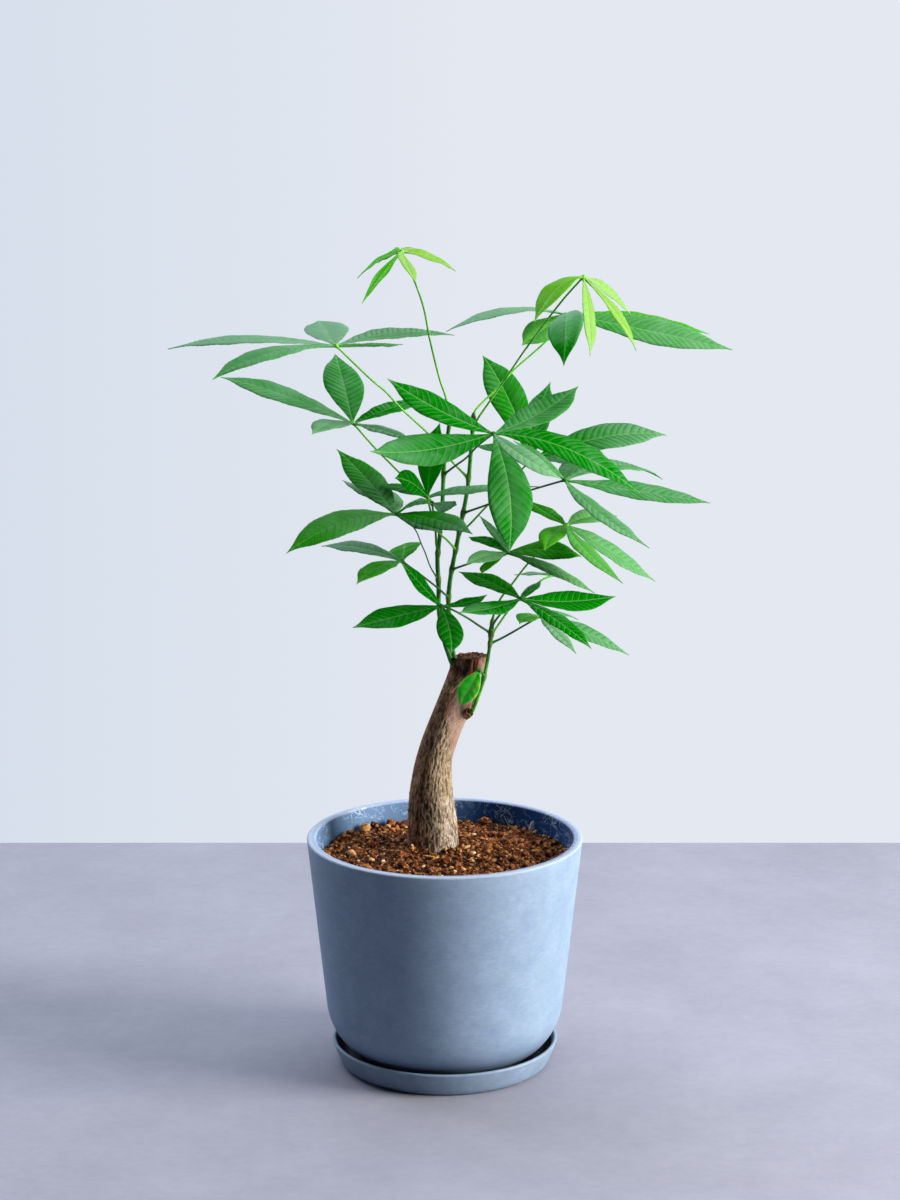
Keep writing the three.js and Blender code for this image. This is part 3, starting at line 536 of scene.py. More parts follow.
# ---- Trees ----
def stalk_tree():
    """A round stalk along a line of points, as thick as each point's own radius says."""
    tree, given = start_tree("stalk", {"Sides": "Int", "Material": "Material"})
    thick = add(tree, "GeometryNodeInputNamedAttribute", {"Name": "thick"}, data_type="FLOAT").outputs[0]
    line = add(tree, "GeometryNodeMeshToCurve", {"Mesh": given["Geometry"]}).outputs[0]
    ring = add(tree, "GeometryNodeCurvePrimitiveCircle",
               {"Resolution": given["Sides"], "Radius": 1.0}).outputs[0]
    tube = add(tree, "GeometryNodeCurveToMesh",
               {"Curve": line, "Profile Curve": ring, "Scale": thick, "Fill Caps": True}).outputs[0]
    round_tube = add(tree, "GeometryNodeSetShadeSmooth", {"Geometry": tube}).outputs[0]
    end_tree(tree, round_tube, given["Material"])
    return tree


def turned_tree():
    """A turned wall: the profile line carried round the axis, with its seam and poles closed."""
    tree, given = start_tree("turned", {
        "Sides": "Int", "Ring Radius": "Float", "Weld": "Float", "Material": "Material"})
    profile = add(tree, "GeometryNodeMeshToCurve", {"Mesh": given["Geometry"]}).outputs[0]
    ring = add(tree, "GeometryNodeCurvePrimitiveCircle",
               {"Resolution": given["Sides"], "Radius": given["Ring Radius"]}).outputs[0]
    wall = add(tree, "GeometryNodeCurveToMesh", {"Curve": ring, "Profile Curve": profile}).outputs[0]
    closed = add(tree, "GeometryNodeMergeByDistance",
                 {"Geometry": wall, "Distance": given["Weld"]}).outputs[0]
    round_wall = add(tree, "GeometryNodeSetShadeSmooth", {"Geometry": closed}).outputs[0]
    end_tree(tree, round_wall, given["Material"])
    return tree


DENTS_IN_A_METRE = 420.0


def dented_balls(tree, given, points, turn, scale):
    """A dented ball at each point, sunk by the given depth, of the given material."""
    ball = add(tree, "GeometryNodeMeshIcoSphere",
               {"Radius": 1.0, "Subdivisions": given["Roundness"]}).outputs[0]
    balls = add(tree, "GeometryNodeInstanceOnPoints", {
        "Points": points, "Instance": ball, "Rotation": turn, "Scale": scale}).outputs[0]
    real = add(tree, "GeometryNodeRealizeInstances", {"Geometry": balls}).outputs[0]
    spot = add(tree, "GeometryNodeInputPosition").outputs[0]
    rough = add(tree, "ShaderNodeTexNoise", {"Vector": spot, "Scale": DENTS_IN_A_METRE, "Detail": 1.0})
    centred = add(tree, "ShaderNodeVectorMath", {0: rough.outputs["Color"], 1: (0.5, 0.5, 0.5)},
                  operation="SUBTRACT").outputs[0]
    dent = add(tree, "ShaderNodeVectorMath", {0: centred, "Scale": given["Dents"]},
               operation="SCALE").outputs[0]
    drop = add(tree, "ShaderNodeCombineXYZ", {"Z": given["Sink"]}).outputs[0]
    offset = add(tree, "ShaderNodeVectorMath", {0: dent, 1: drop}, operation="SUBTRACT").outputs[0]
    moved = add(tree, "GeometryNodeSetPosition", {"Geometry": real, "Offset": offset}).outputs[0]
    end_tree(tree, moved, given["Material"])
    return tree


def crumb_tree():
    """Crumbs strewn over a surface, each turned, stretched and dented its own way."""
    tree, given = start_tree("crumbs", {
        "Spacing": "Float", "Density": "Float", "Smallest": "Float", "Largest": "Float",
        "Flatness": "Float", "Roundness": "Int", "Dents": "Float", "Sink": "Float", "Seed": "Int",
        "Material": "Material",
    })
    strewn = add(tree, "GeometryNodeDistributePointsOnFaces", {
        "Mesh": given["Geometry"], "Distance Min": given["Spacing"], "Density Max": given["Density"],
        "Seed": given["Seed"]}, distribute_method="POISSON")
    chance = add(tree, "FunctionNodeRandomValue", {"Seed": 4}, data_type="FLOAT").outputs[1]
    # Small crumbs are common and large ones rare.
    rare = add(tree, "ShaderNodeMath", {0: chance, 1: 2.2}, operation="POWER").outputs[0]
    spread = add(tree, "ShaderNodeMapRange", {
        "Value": rare, "To Min": given["Smallest"], "To Max": given["Largest"]}).outputs[0]
    stretch = add(tree, "FunctionNodeRandomValue", {0: (0.75, 0.6, 0.0), 1: (1.45, 1.15, 0.0), "Seed": 5},
                  data_type="FLOAT_VECTOR").outputs[0]
    parts = add(tree, "ShaderNodeSeparateXYZ", {0: stretch}).outputs
    form = add(tree, "ShaderNodeCombineXYZ",
               {"X": parts["X"], "Y": parts["Y"], "Z": given["Flatness"]}).outputs[0]
    scale = add(tree, "ShaderNodeVectorMath", {0: form, "Scale": spread}, operation="SCALE").outputs[0]
    turn = add(tree, "FunctionNodeRandomValue", {0: (-0.7, -0.7, 0.0), 1: (0.7, 0.7, 6.283), "Seed": 6},
               data_type="FLOAT_VECTOR").outputs[0]
    lie = add(tree, "FunctionNodeEulerToRotation", {0: turn}).outputs[0]
    laid = add(tree, "FunctionNodeRotateRotation",
               {"Rotation": strewn.outputs["Rotation"], "Rotate By": lie}).outputs[0]
    return dented_balls(tree, given, strewn.outputs["Points"], laid, scale)


def chip_tree():
    """Single chips and lumps at the points of a mesh, each of its own size and turned its own way."""
    tree, given = start_tree("chips", {
        "Roundness": "Int", "Dents": "Float", "Sink": "Float", "Material": "Material"})
    points = add(tree, "GeometryNodeMeshToPoints", {"Mesh": given["Geometry"]}).outputs[0]
    size = add(tree, "GeometryNodeInputNamedAttribute", {"Name": "size"},
               data_type="FLOAT_VECTOR").outputs[0]
    turn = add(tree, "GeometryNodeInputNamedAttribute", {"Name": "turn"},
               data_type="FLOAT_VECTOR").outputs[0]
    lie = add(tree, "FunctionNodeEulerToRotation", {0: turn}).outputs[0]
    return dented_balls(tree, given, points, lie, size)


# ---- Finishes ----
def stone_filled_plastic(name, tones, roughness, low, high, bottom):
    """Pressed stone-filled plastic: matt, and clouded, with fine streaks that run round the wall. It also
    tells the inside of the piece, which is above the bottom and within the line from low to high, two
    places in the middle of the wall given as (radius, height)."""
    material, tree = start_material(name)
    spot = add(tree, "ShaderNodeTexCoord").outputs["Object"]
    round_wall = add(tree, "ShaderNodeMapping",
                     {"Vector": spot, "Scale": (per(5.56), per(5.56), per(1.25))}).outputs[0]
    streaks = add(tree, "ShaderNodeTexNoise",
                  {"Vector": round_wall, "Scale": 1.0, "Detail": 4.0, "Roughness": 0.65}).outputs[0]
    clouds = add(tree, "ShaderNodeTexNoise",
                 {"Vector": spot, "Scale": per(18.2), "Detail": 6.0, "Roughness": 0.75}).outputs[0]
    # The real grain, of a few tenths of a millimetre, is too fine to show, so it is drawn coarser.
    grain = add(tree, "ShaderNodeTexNoise", {"Vector": spot, "Scale": per(1.11), "Detail": 2.0}).outputs[0]
    mixed = add(tree, "ShaderNodeMix", {0: 0.6, 2: streaks, 3: clouds}, data_type="FLOAT").outputs[0]
    colour = add(tree, "ShaderNodeValToRGB", {0: mixed},
                 stops=[(at, tint(tone)) for at, tone in zip((0.36, 0.5, 0.64), tones)]).outputs[0]
    rough = add(tree, "ShaderNodeMapRange", {
        "Value": clouds, "From Min": 0.3, "From Max": 0.7, "To Min": roughness - 0.06,
        "To Max": roughness + 0.06}).outputs[0]
    uneven = add(tree, "ShaderNodeMath", {0: streaks, 1: grain}, operation="ADD").outputs[0]
    relief = add(tree, "ShaderNodeBump",
                 {"Strength": 0.25, "Distance": 0.25 * MM, "Height": uneven}).outputs[0]
    flat = add(tree, "ShaderNodeVectorMath", {0: spot, 1: (1, 1, 0)}, operation="MULTIPLY").outputs[0]
    radius = add(tree, "ShaderNodeVectorMath", {0: flat}, operation="LENGTH").outputs["Value"]
    height = add(tree, "ShaderNodeSeparateXYZ", {0: spot}).outputs["Z"]
    middle = add(tree, "ShaderNodeMapRange", {
        "Value": height, "From Min": low[1] * MM, "From Max": high[1] * MM,
        "To Min": low[0] * MM, "To Max": high[0] * MM}).outputs[0]
    within = add(tree, "ShaderNodeMath", {0: radius, 1: middle}, operation="LESS_THAN").outputs[0]
    above = add(tree, "ShaderNodeMath", {0: height, 1: bottom * MM}, operation="GREATER_THAN").outputs[0]
    inside = add(tree, "ShaderNodeMath", {0: within, 1: above}, operation="MULTIPLY").outputs[0]
    return material, tree, spot, height, inside, colour, rough, relief


def end_material(tree, colour, rough, relief, **sockets):
    """Ends a material in one plain surface. A socket's name has _ where the node has a space."""
    values = {"Base Color": colour, "Roughness": rough, "Normal": relief}
    values.update({key.replace("_", " "): value for key, value in sockets.items()})
    surface = add(tree, "ShaderNodeBsdfPrincipled", values).outputs[0]
    add(tree, "ShaderNodeOutputMaterial", {"Surface": surface})


def pot_plastic():
    """The pot's own plastic: darker inside, where damp and painted shade both darken it, the shade deepening
    towards the right, with lime in curls where water has dried there, a painted highlight on top of the rim,
    and painted shade low on its foot."""
    top, middle = POT["top"], POT["rim_radius"] - POT["wall"] / 2
    material, tree, spot, height, inside, colour, rough, relief = stone_filled_plastic(
        "stone_filled_plastic_pot", ("#6d86a6", "#7890a8", "#8198b6"), roughness=0.6,
        low=(middle - math.tan(SIDE_LEAN) * top, 0), high=(middle, top), bottom=100)
    sideways = add(tree, "ShaderNodeSeparateXYZ", {0: spot}).outputs["X"]
    # Painted shade: the inside is painted darker, for damp and for shade, and darker still towards the
    # right.
    shade_to_right = add(tree, "ShaderNodeMapRange", {
        "Value": sideways, "From Min": -30 * MM, "From Max": 30 * MM,
        "To Min": 0.75, "To Max": 1.0}).outputs[0]
    inside_shade = add(tree, "ShaderNodeMath", {0: shade_to_right, 1: inside}, operation="MULTIPLY").outputs[0]
    shaded_inside_colour = add(tree, "ShaderNodeMix", {
        0: shade_to_right, 6: tint("#84b4d4"), 7: tint("#0c3c7c")}, data_type="RGBA").outputs[2]
    curls = add(tree, "ShaderNodeTexNoise", {
        "Vector": spot, "Scale": per(10.53), "Detail": 3.0, "Roughness": 0.55, "Distortion": 1.6}).outputs[0]
    off_line = add(tree, "ShaderNodeMath", {0: curls, 1: 0.5}, operation="SUBTRACT").outputs[0]
    near_line = add(tree, "ShaderNodeMath", {0: off_line}, operation="ABSOLUTE").outputs[0]
    line = add(tree, "ShaderNodeMapRange", {
        "Value": near_line, "From Min": 0.004, "From Max": 0.03, "To Min": 0.75, "To Max": 0.0}).outputs[0]
    where = add(tree, "ShaderNodeTexNoise", {"Vector": spot, "Scale": per(30.3), "Detail": 3.0}).outputs[0]
    some = add(tree, "ShaderNodeMapRange", {
        "Value": where, "From Min": 0.4, "From Max": 0.56, "To Min": 0.0, "To Max": 1.0}).outputs[0]
    drawn = add(tree, "ShaderNodeMath", {0: line, 1: some}, operation="MULTIPLY").outputs[0]
    limed = add(tree, "ShaderNodeMath", {0: drawn, 1: inside}, operation="MULTIPLY").outputs[0]
    # Painted highlight: the top of the rim is painted paler.
    rim_highlight = add(tree, "ShaderNodeMapRange", {
        "Value": height, "From Min": (top - 1.3) * MM, "From Max": (top - 0.3) * MM,
        "To Min": 0.0, "To Max": 0.5}).outputs[0]
    # Painted shade: the foot, down in the saucer, is painted darker.
    foot = add(tree, "ShaderNodeMapRange", {
        "Value": height, "From Min": 10 * MM, "From Max": 34 * MM, "To Min": 0.75, "To Max": 0.0}).outputs[0]
    layers = (
        (inside_shade, shaded_inside_colour), (limed, tint("#b4c8dc")), (rim_highlight, tint("#a8b6ca")), (foot, tint("#34496a")),
    )
    for share, over in layers:
        colour = add(tree, "ShaderNodeMix", {0: share, 6: colour, 7: over}, data_type="RGBA").outputs[2]
    dull = add(tree, "ShaderNodeMapRange", {"Value": inside, "To Min": 0.5, "To Max": 0.15}).outputs[0]
    end_material(tree, colour, rough, relief, IOR=1.5, Specular_IOR_Level=dull)
    return material


def saucer_plastic():
    """The saucer's plastic, painted near black inside, round the pot's foot, as painted shade."""
    wall = SAUCER["wall"]
    material, tree, _, _, inside, colour, rough, relief = stone_filled_plastic(
        "stone_filled_plastic_saucer", ("#647c98", "#70869c", "#7c92ae"), roughness=0.55,
        low=(SAUCER["side_radius"] - wall / 4, SAUCER["floor"]),
        high=(SAUCER["rim_radius"] - wall, SAUCER["height"]), bottom=SAUCER["floor"] / 2)
    # Painted shade: inside the saucer the plastic is painted near black.
    inside_shade = add(tree, "ShaderNodeMix", {0: inside, 6: colour, 7: tint("#05080c")},
               data_type="RGBA").outputs[2]
    end_material(tree, inside_shade, rough, relief, IOR=1.5)
    return material


def earth(name, dark, middle, light):
    """Damp potting earth, and what else is as rough and dull, such as torn wood: each crumb is a little
    lighter or darker than the next."""
    material, tree = start_material(name)
    spot = add(tree, "ShaderNodeTexCoord").outputs["Object"]
    crumbs = add(tree, "ShaderNodeTexVoronoi", {"Vector": spot, "Scale": per(2.38)}).outputs["Color"]
    each = add(tree, "ShaderNodeSeparateColor", {0: crumbs}).outputs[0]
    fine = add(tree, "ShaderNodeTexNoise",
               {"Vector": spot, "Scale": per(0.667), "Detail": 3.0, "Roughness": 0.7}).outputs[0]
    blend = add(tree, "ShaderNodeMix", {0: 0.45, 2: each, 3: fine}, data_type="FLOAT").outputs[0]
    colour = add(tree, "ShaderNodeValToRGB", {0: blend}, stops=[
        (0.18, tint(dark)), (0.5, tint(middle)), (0.82, tint(light))]).outputs[0]
    relief = add(tree, "ShaderNodeBump", {"Strength": 0.7, "Distance": 0.6 * MM, "Height": fine}).outputs[0]
    end_material(tree, colour, 0.9, relief, IOR=1.4, Specular_IOR_Level=0.25)
    return material


def bark():
    """Old bark: khaki and split by short cracks, grey low on the right, smooth and mauve above it, reddish
    on the left, where it is also darkened as painted shade, and dark where it was sawn. Its patterns lie on
    the straightened trunk, in millimetres."""
    material, tree = start_material("cracked_bark")
    straight = add(tree, "ShaderNodeAttribute", attribute_name="straight").outputs["Vector"]
    along = add(tree, "ShaderNodeMapping",
                {"Vector": straight, "Scale": (1 / 0.8, 1 / 0.8, 1 / 3.333)}).outputs[0]
    grain = add(tree, "ShaderNodeTexNoise",
                {"Vector": along, "Scale": 1.0, "Detail": 4.0, "Roughness": 0.72}).outputs[0]
    patches = add(tree, "ShaderNodeTexNoise",
                  {"Vector": straight, "Scale": 1 / 8.33, "Detail": 4.0, "Roughness": 0.6}).outputs[0]
    mixed = add(tree, "ShaderNodeMix", {0: 0.25, 2: grain, 3: patches}, data_type="FLOAT").outputs[0]
    long = add(tree, "ShaderNodeMapping",
               {"Vector": straight, "Scale": (1 / 1.82, 1 / 1.82, 1 / 10)}).outputs[0]
    streaks = add(tree, "ShaderNodeTexNoise",
                  {"Vector": long, "Scale": 1.0, "Detail": 4.0, "Roughness": 0.65}).outputs[0]
    skins = []
    for source, *stops in (
            (mixed, (0.4, "#523e2a"), (0.49, "#8c7c64"), (0.58, "#b4a894")),
            (mixed, (0.4, "#54463a"), (0.49, "#8a7e70"), (0.58, "#bab0a4")),
            (mixed, (0.34, "#74584f"), (0.5, "#93776c"), (0.64, "#b39b90")),
            (streaks, (0.42, "#0c0604"), (0.5, "#3a2015"), (0.58, "#8a5138"))):
        skins.append(add(tree, "ShaderNodeValToRGB", {0: source},
                         stops=[(at, tint(code)) for at, code in stops]).outputs[0])
    colour, worn, young, sawn = skins
    pores = add(tree, "ShaderNodeTexVoronoi", {"Vector": straight, "Scale": 1 / 3.7}).outputs["Distance"]
    pore = add(tree, "ShaderNodeMapRange", {
        "Value": pores, "From Min": 0.09, "From Max": 0.15, "To Min": 0.85, "To Max": 0.0}).outputs[0]
    young = add(tree, "ShaderNodeMix", {0: pore, 6: young, 7: tint("#4b3632")}, data_type="RGBA").outputs[2]
    # The reddish layer is multiplied over the left side: reddish bark, darkened further as painted shade.
    layers = (
        ("grey", worn, "MIX"), ("smooth_bark", young, "MIX"), ("moss", tint("#76704c"), "MIX"),
        ("crack", tint("#463120"), "MIX"), ("ruddy_shade", tint("#f0bc98"), "MULTIPLY"), ("cut", sawn, "MIX"),
    )
    for key, over, blend in layers:
        share = add(tree, "ShaderNodeAttribute", attribute_name=key).outputs["Fac"]
        colour = add(tree, "ShaderNodeMix", {0: share, 6: colour, 7: over},
                     data_type="RGBA", blend_type=blend).outputs[2]
    relief = add(tree, "ShaderNodeBump", {"Strength": 0.8, "Distance": 0.6 * MM, "Height": grain}).outputs[0]
    end_material(tree, colour, 0.85, relief, IOR=1.45, Specular_IOR_Level=0.3)
    return material


def leaf_blade(name, deep, painted_sheen, vein, underside, glow, sheen, thinness, veined, netted):
    """A living leaf: waxed above and dull below, a pale midrib, side veins and a fine net between. Some
    leaflets are deep green, some carry a painted grey-green sheen, and some a painted yellow-green glow that
    also tints the light they let through. Ridges past the side veins are painted paler as painted highlight,
    and the furrows before them deep green as painted shade."""
    material, tree = start_material(name)
    spot = add(tree, "ShaderNodeTexCoord").outputs["Object"]
    # On the blade's own map, X runs across from the midrib and Y along it, both in millimetres.
    surface = add(tree, "ShaderNodeUVMap", uv_map="surface").outputs[0]
    places = add(tree, "ShaderNodeSeparateXYZ", {0: surface}).outputs
    share = {key: add(tree, "ShaderNodeAttribute", attribute_name=key).outputs["Fac"]
             for key in ("painted_sheen", "lime_glow", "upper", "margin", "blotch", "furrowed")}
    turn = add(tree, "ShaderNodeMath", {0: places["Y"], 1: VEIN_PITCH}, operation="DIVIDE").outputs[0]
    wave = add(tree, "ShaderNodeMath", {0: turn}, operation="FRACT").outputs[0]
    off = add(tree, "ShaderNodeMath", {0: wave, 1: 0.5}, operation="SUBTRACT").outputs[0]
    near_vein = add(tree, "ShaderNodeMath", {0: off}, operation="ABSOLUTE").outputs[0]
    away = add(tree, "ShaderNodeMath", {0: places["X"]}, operation="ABSOLUTE").outputs[0]
    rib = add(tree, "ShaderNodeMapRange", {
        "Value": away, "From Min": 0.22, "From Max": 0.6, "To Min": 0.75, "To Max": 0.0}).outputs[0]
    side_vein = add(tree, "ShaderNodeMapRange", {
        "Value": near_vein, "From Min": 0.4, "From Max": 0.5, "To Min": 0.0, "To Max": veined}).outputs[0]
    edge = add(tree, "ShaderNodeMapRange", {
        "Value": share["margin"], "From Min": 0.1, "From Max": 0.35,
        "To Min": 0.25, "To Max": 0.0}).outputs[0]
    lines = add(tree, "ShaderNodeMath", {0: rib, 1: edge}, operation="MAXIMUM").outputs[0]
    # The real net has meshes of half a millimetre, too fine to show, so it is drawn coarser.
    net = add(tree, "ShaderNodeTexVoronoi", {"Vector": surface, "Scale": 1 / 1.333},
              feature="DISTANCE_TO_EDGE").outputs["Distance"]
    mottle = add(tree, "ShaderNodeTexNoise",
                 {"Vector": spot, "Scale": per(13.33), "Detail": 4.0, "Roughness": 0.6}).outputs[0]
    tone = add(tree, "ShaderNodeMapRange", {
        "Value": mottle, "From Min": 0.3, "From Max": 0.7, "To Min": -0.16, "To Max": 0.18}).outputs[0]
    # The blade rises to a ridge past each side vein, painted paler as painted highlight, and the furrow
    # before it is painted deep green as painted shade.
    ridge_light = add(tree, "ShaderNodeMapRange", {
        "Value": wave, "From Min": 0.0, "From Max": 0.75, "To Min": -0.1, "To Max": 0.08}).outputs[0]
    tone_and_ridge_light = add(tree, "ShaderNodeMath", {0: tone, 1: ridge_light}, operation="ADD").outputs[0]
    sheen_and_light = add(tree, "ShaderNodeMath", {0: share["painted_sheen"], 1: tone_and_ridge_light}, operation="ADD",
                   use_clamp=True).outputs[0]
    # Painted shade: the furrow before each side vein is painted deep green, the more so on a furrowed blade.
    trough_shade = add(tree, "ShaderNodeMapRange", {
        "Value": wave, "From Min": 0.0, "From Max": 0.3, "To Min": veined, "To Max": 0.0}).outputs[0]
    furrow_shade = add(tree, "ShaderNodeMath", {0: trough_shade, 1: share["furrowed"]}, operation="MULTIPLY").outputs[0]
    # The colours of the upper face, of the lower one, and of the light that the blade lets through,
    # which the painted sheen dulls too. Each starts from its first colour and has others laid over it.
    colours = []
    for first, *layers in (
            (deep, (sheen_and_light, painted_sheen), (share["lime_glow"], "#55b422"), (furrow_shade, "#004a0a"),
             (share["blotch"], "#d0c838"), (side_vein, vein), (lines, vein)),
            (underside, (side_vein, vein)),
            (glow, (sheen_and_light, "#84cc98"), (share["lime_glow"], "#9aee4c"), (furrow_shade, "#08780c"))):
        colour = tint(first)
        for amount, over in layers:
            colour = add(tree, "ShaderNodeMix", {0: amount, 6: colour, 7: tint(over)},
                         data_type="RGBA").outputs[2]
        colours.append(colour)
    above, below, passed = colours
    colour = add(tree, "ShaderNodeMix", {0: share["upper"], 6: below, 7: above},
                 data_type="RGBA").outputs[2]
    gloss = add(tree, "ShaderNodeMapRange", {
        "Value": sheen_and_light, "From Min": 0.0, "From Max": 1.0, "To Min": 0.0, "To Max": sheen}).outputs[0]
    rough = add(tree, "ShaderNodeMapRange", {
        "Value": mottle, "From Min": 0.3, "From Max": 0.7, "To Min": 0.55, "To Max": 0.42}).outputs[0]
    dull = add(tree, "ShaderNodeMix", {0: share["upper"], 2: 0.7, 3: rough}, data_type="FLOAT").outputs[0]
    relief = add(tree, "ShaderNodeBump",
                 {"Strength": netted, "Distance": 0.3 * MM, "Height": net}).outputs[0]
    skin = add(tree, "ShaderNodeBsdfPrincipled", {
        "Base Color": colour, "Roughness": dull, "Normal": relief, "IOR": 1.45,
        "Specular IOR Level": gloss}).outputs[0]
    through = add(tree, "ShaderNodeBsdfTranslucent", {"Color": passed}).outputs[0]
    blade = add(tree, "ShaderNodeMixShader", {0: thinness, 1: skin, 2: through}).outputs[0]
    add(tree, "ShaderNodeOutputMaterial", {"Surface": blade})
    return material


def green_stalk(name, dark, light, scar):
    """A green waxy stalk, ribbed along its length, with brown scars where leaves have stood."""
    material, tree = start_material(name)
    spot = add(tree, "ShaderNodeTexCoord").outputs["Object"]
    long_spot = add(tree, "ShaderNodeMapping",
                    {"Vector": spot, "Scale": (per(1.111), per(1.111), per(9.09))}).outputs[0]
    fibres = add(tree, "ShaderNodeTexNoise",
                 {"Vector": long_spot, "Scale": 1.0, "Detail": 3.0, "Roughness": 0.6}).outputs[0]
    mottle = add(tree, "ShaderNodeTexNoise", {"Vector": spot, "Scale": per(7.69), "Detail": 3.0}).outputs[0]
    mixed = add(tree, "ShaderNodeMix", {0: 0.75, 2: fibres, 3: mottle}, data_type="FLOAT").outputs[0]
    green = add(tree, "ShaderNodeValToRGB", {0: mixed},
                stops=[(0.38, tint(dark)), (0.62, tint(light))]).outputs[0]
    corky = add(tree, "ShaderNodeAttribute", attribute_name="scar").outputs["Fac"]
    colour = add(tree, "ShaderNodeMix", {0: corky, 6: green, 7: tint(scar)}, data_type="RGBA").outputs[2]
    relief = add(tree, "ShaderNodeBump",
                 {"Strength": 0.05, "Distance": 0.2 * MM, "Height": fibres}).outputs[0]
    end_material(tree, colour, 0.45, relief, IOR=1.45, Specular_IOR_Level=0.35)
    return material


def plain_stage(name, colour, fleck):
    """A painted floor: matt, with faint clouds and a finer grain in it."""
    material, tree = start_material(name)
    spot = add(tree, "ShaderNodeTexCoord").outputs["Object"]
    clouds = add(tree, "ShaderNodeTexNoise",
                 {"Vector": spot, "Scale": per(143), "Detail": 8.0, "Roughness": 0.72}).outputs[0]
    brushed = add(tree, "ShaderNodeMapping",
                  {"Vector": spot, "Scale": (per(9.09), per(6.67), per(9.09))}).outputs[0]
    grain = add(tree, "ShaderNodeTexNoise",
                {"Vector": brushed, "Scale": 1.0, "Detail": 6.0, "Roughness": 0.7}).outputs[0]
    both = add(tree, "ShaderNodeMix", {0: 0.3, 2: clouds, 3: grain}, data_type="FLOAT").outputs[0]
    mixed = add(tree, "ShaderNodeValToRGB", {0: both},
                stops=[(0.3, tint(colour)), (0.7, tint(fleck))]).outputs[0]
    end_material(tree, mixed, 0.8, (0, 0, 0))
    return material


# Waxed green blades with a painted grey-green sheen, soft bright young ones, and the old one with yellow
# spots.
MATURE_LEAF = leaf_blade(
    "waxed_leaf", deep="#007404", painted_sheen="#7cb08c", vein="#7cc070", underside="#3f8c3e", glow="#10dc00",
    sheen=0.24, thinness=0.46, veined=0.4, netted=0.15)
YOUNG_LEAF = leaf_blade(
    "young_leaf", deep="#7cb41c", painted_sheen="#98c680", vein="#a4d480", underside="#6cb434", glow="#5ca41c",
    sheen=0.3, thinness=0.45, veined=0.15, netted=0.03)
# Painted light: the old leaf's greens are painted brighter than its own, for it stands in shade.
OLD_LEAF = leaf_blade(
    "yellowing_leaf", deep="#10ec1c", painted_sheen="#60e868", vein="#f4fff0", underside="#5aa850", glow="#48f818",
    sheen=0.3, thinness=0.45, veined=0.06, netted=0.1)
# Smooth stalks that shine a little: a lit copy painted in bright greens, as painted light, and a shaded copy
# in deep greens, as painted shade.
LIT_PETIOLE = green_stalk("lit_waxed_petiole", "#43a322", "#72bc3e", "#7a5a2c")
SHADED_PETIOLE = green_stalk("shaded_waxed_petiole", "#12521a", "#2c7c26", "#6a4a2c")
STEM = green_stalk("woody_green_stem", "#145a14", "#389026", "#6b3f28")
LOW_STEM = green_stalk("young_green_stem", "#1f7414", "#5cae34", "#6b3f28")
BARK = bark()
POT_PLASTIC = pot_plastic()
SAUCER_PLASTIC = saucer_plastic()
# Damp brown crumbs over darker earth, straw-coloured coir, grey-brown torn wood, chalky lime, cream chips.
EARTH = earth("potting_earth", "#160903", "#5c3016", "#b07440")
DEEP_EARTH = earth("deep_earth", "#0f0703", "#2c170a", "#53301a")
PALE_CRUMB = earth("coir_crumb", "#7a4a24", "#b07d48", "#d9ae78")
TORN_WOOD = earth("torn_wood", "#563a26", "#94704a", "#c09a70")
LIME_FLAKE = earth("lime_flake", "#d8ecff", "#ecf6ff", "#ffffff")
PALE_CHIP = earth("wood_chip", "#b08a58", "#dcc096", "#f0e2c6")
FLOOR = plain_stage("painted_floor", "#787b8a", "#8c909f")

STALK_TREE = stalk_tree()
TURNED_TREE = turned_tree()
CRUMB_TREE = crumb_tree()
CHIP_TREE = chip_tree()


# ---- Camera, light and floor ----
def camera():
    data = bpy.data.cameras.new("picture_camera")
    data.sensor_width = SENSOR
    data.lens = FOCAL * SENSOR / PICTURE_SIZE[1]
    made = bpy.data.objects.new("picture_camera", data)
    made.location = Vector(EYE * MM)
    made.rotation_euler = (math.pi / 2 - PITCH, 0, 0)
    bpy.context.collection.objects.link(made)
    bpy.context.scene.camera = made


def softbox(name, stands, faces, size, watts, colour):
    """A soft rectangular light. Its places and its size are in metres."""
    data = bpy.data.lights.new(name, "AREA")
    data.shape = "RECTANGLE"
    data.size, data.size_y = size
    data.energy = watts
    data.color = tint(colour)[:3]
    made = bpy.data.objects.new(name, data)
    made.location = stands
    made.rotation_euler = (Vector(faces) - Vector(stands)).to_track_quat("-Z", "Y").to_euler()
    bpy.context.collection.objects.link(made)


# How far the floor reaches to the sides and to the viewer, and to the wall behind.
FLOOR_REACH, FLOOR_END = 900, 534.5


